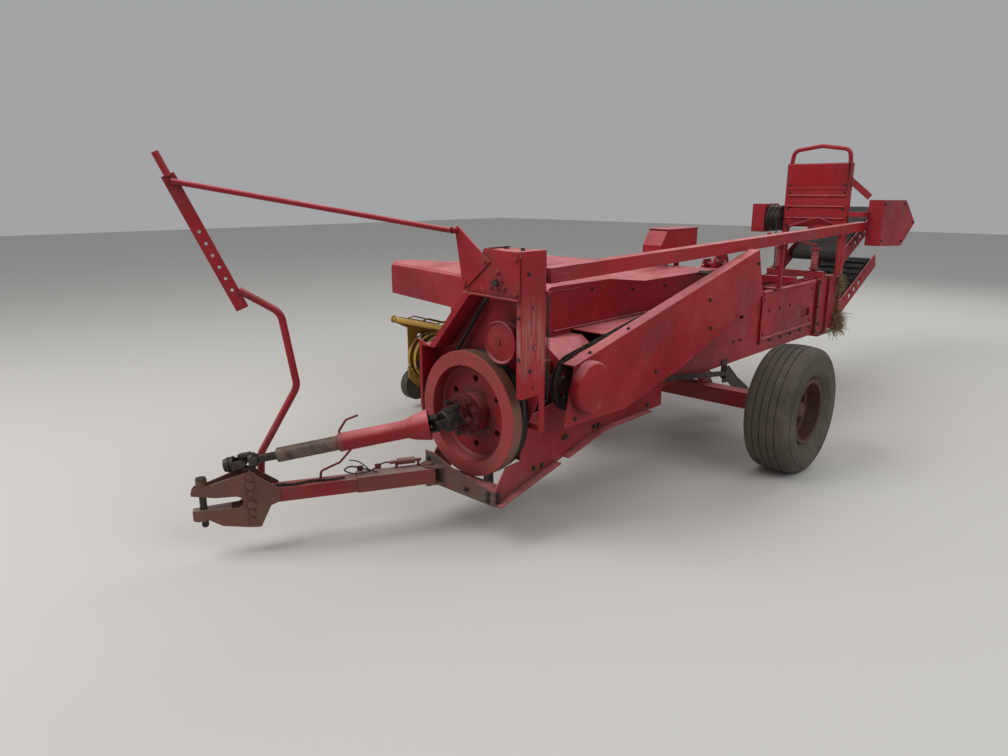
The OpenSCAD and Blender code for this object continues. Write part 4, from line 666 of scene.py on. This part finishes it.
# ---------------------------------------------------------------- rear end
# Sheaves and belt of the thrower's drive on the right post
UPPER, LOWER = Vector((-332, 2360, 1415)), Vector((-332, 2360, 965))
UPPER_R, LOWER_R, SHEAVE_PITCH = 112, 64, 40
BELT_SEAT, ARC_STEPS = 11, 20
drive = Solids()
drive.lathe(UPPER + LEFT * 10, -LEFT, [(16, 0), (16, 160), (13, 162)], 16)
drive.lathe(LOWER + LEFT * 10, -LEFT, [(14, 0), (14, 96), (11, 98)], 16)
for at, r, count in ((UPPER - LEFT * 14, UPPER_R, 3), (LOWER - LEFT * 14, LOWER_R, 1)):
    for k in range(count):
        drive.lathe(at - LEFT * SHEAVE_PITCH * k, -LEFT,
                    [(24, 0), (r - 16, 0), (r, -2), (r, 3), (r - 12, 14), (r, 25), (r, 30),
                     (r - 16, 28), (24, 28)], 40)
drive.piece("thrower_sheaves", MAT["worn_steel"])


def belt_arc(centre, r, first, sweep):
    """Points round a sheave, by the angle from straight up towards the back."""
    angles = [first + sweep * k / ARC_STEPS for k in range(ARC_STEPS + 1)]
    return [centre + Vector((0, math.sin(a), math.cos(a))) * r for a in angles]


belt = Solids()
lean = math.asin((UPPER_R - LOWER_R) / (UPPER - LOWER).length)
loop = belt_arc(UPPER, UPPER_R - BELT_SEAT, -(math.pi / 2 + lean), math.pi + 2 * lean)
loop += belt_arc(LOWER, LOWER_R - BELT_SEAT, math.pi / 2 + lean, math.pi - 2 * lean)
belt.tube([p - LEFT * 28 for p in loop], 6, 6, closed=True)
belt.piece("thrower_drive_belt", MAT["belt_rubber"])

# Guard over the sheaves' far side: a flat outer plate, a skirt and two carriers
FAR_OUTLINE = [(2290, 1295), (2290, 1535), (2560, 1535), (2660, 1415), (2560, 1295)]
FAR_X, FAR_DEEP, FAR_T = -484, 120, 4
far = Solids()
far.plate([(FAR_X + 2, y, z) for y, z in FAR_OUTLINE], -LEFT, 5)
for (y0, z0), (y1, z1) in zip(FAR_OUTLINE, FAR_OUTLINE[1:] + FAR_OUTLINE[:1]):
    across = Vector((0, z0 - z1, y1 - y0)).normalized() * FAR_T
    a, b = Vector((FAR_X, y0, z0)), Vector((FAR_X, y1, z1))
    far.plate([a, b, b + across, a + across], -LEFT, FAR_DEEP)
for z in (1500, 1330):
    far.tube(between((-330, 2380, z), (FAR_X - 2, 2380, z), 2), 9, 8)
far.piece("far_guard", MAT["red_paint"])

# Black strap down the case's rear rib
STRAP_X, STRAP_Y, STRAP_HALF = 252.5, 1775, 11
strap = Solids()
strap.plate([(STRAP_X, STRAP_Y - STRAP_HALF, 520), (STRAP_X, STRAP_Y + STRAP_HALF, 520),
             (STRAP_X, STRAP_Y + STRAP_HALF, 958), (STRAP_X, STRAP_Y - STRAP_HALF, 958)], LEFT, 4)
for z in (540, 740, 940):
    strap.bolt((STRAP_X + 3.5, STRAP_Y, z), LEFT, 13)
strap.piece("rear_strap", MAT["worn_steel"])


# ---------------------------------------------------------------- hay that was left in it
def hay(name, count, low, high, lean, length=(50, 130)):
    """Loose strands between two corners, each a thin bent three-sided stalk that leans along lean."""
    s = Solids()
    low, high = Vector(low), Vector(high)
    for _ in range(count):
        start = Vector([rng.uniform(a, b) for a, b in zip(low, high)])
        heading = (Vector(lean) + Vector([rng.gauss(0, 0.6) for _ in range(3)])).normalized()
        droop = Vector((rng.gauss(0, 0.25), rng.gauss(0, 0.25), -rng.uniform(0.05, 0.5)))
        size = rng.uniform(*length)
        points = [start + heading * size * t + droop * size * t * t * 0.6 for t in (0, 0.35, 0.7, 1.0)]
        s.tube(points, rng.uniform(0.8, 1.6), 3)
    s.piece(name, STRAW)


hay("hay_rear", 1100, (-205, 2130, 565), (215, 2235, 800), (0.15, 0.25, 0.1))
hay("hay_corner_low", 900, (205, 2215, 500), (270, 2262, 640), (0.25, 0.25, -0.25), (40, 110))
hay("hay_corner_high", 420, (205, 2215, 850), (250, 2262, 950), (0.25, 0.20, -0.2), (30, 90))
hay("hay_knotters", 260, (-150, 620, 934), (150, 840, 938), (0, 0.5, 0.15), (30, 90))
hay("hay_floor", 240, (-1600, -400, 562), (-300, 300, 566), (0.6, 0.2, 0.1), (30, 100))
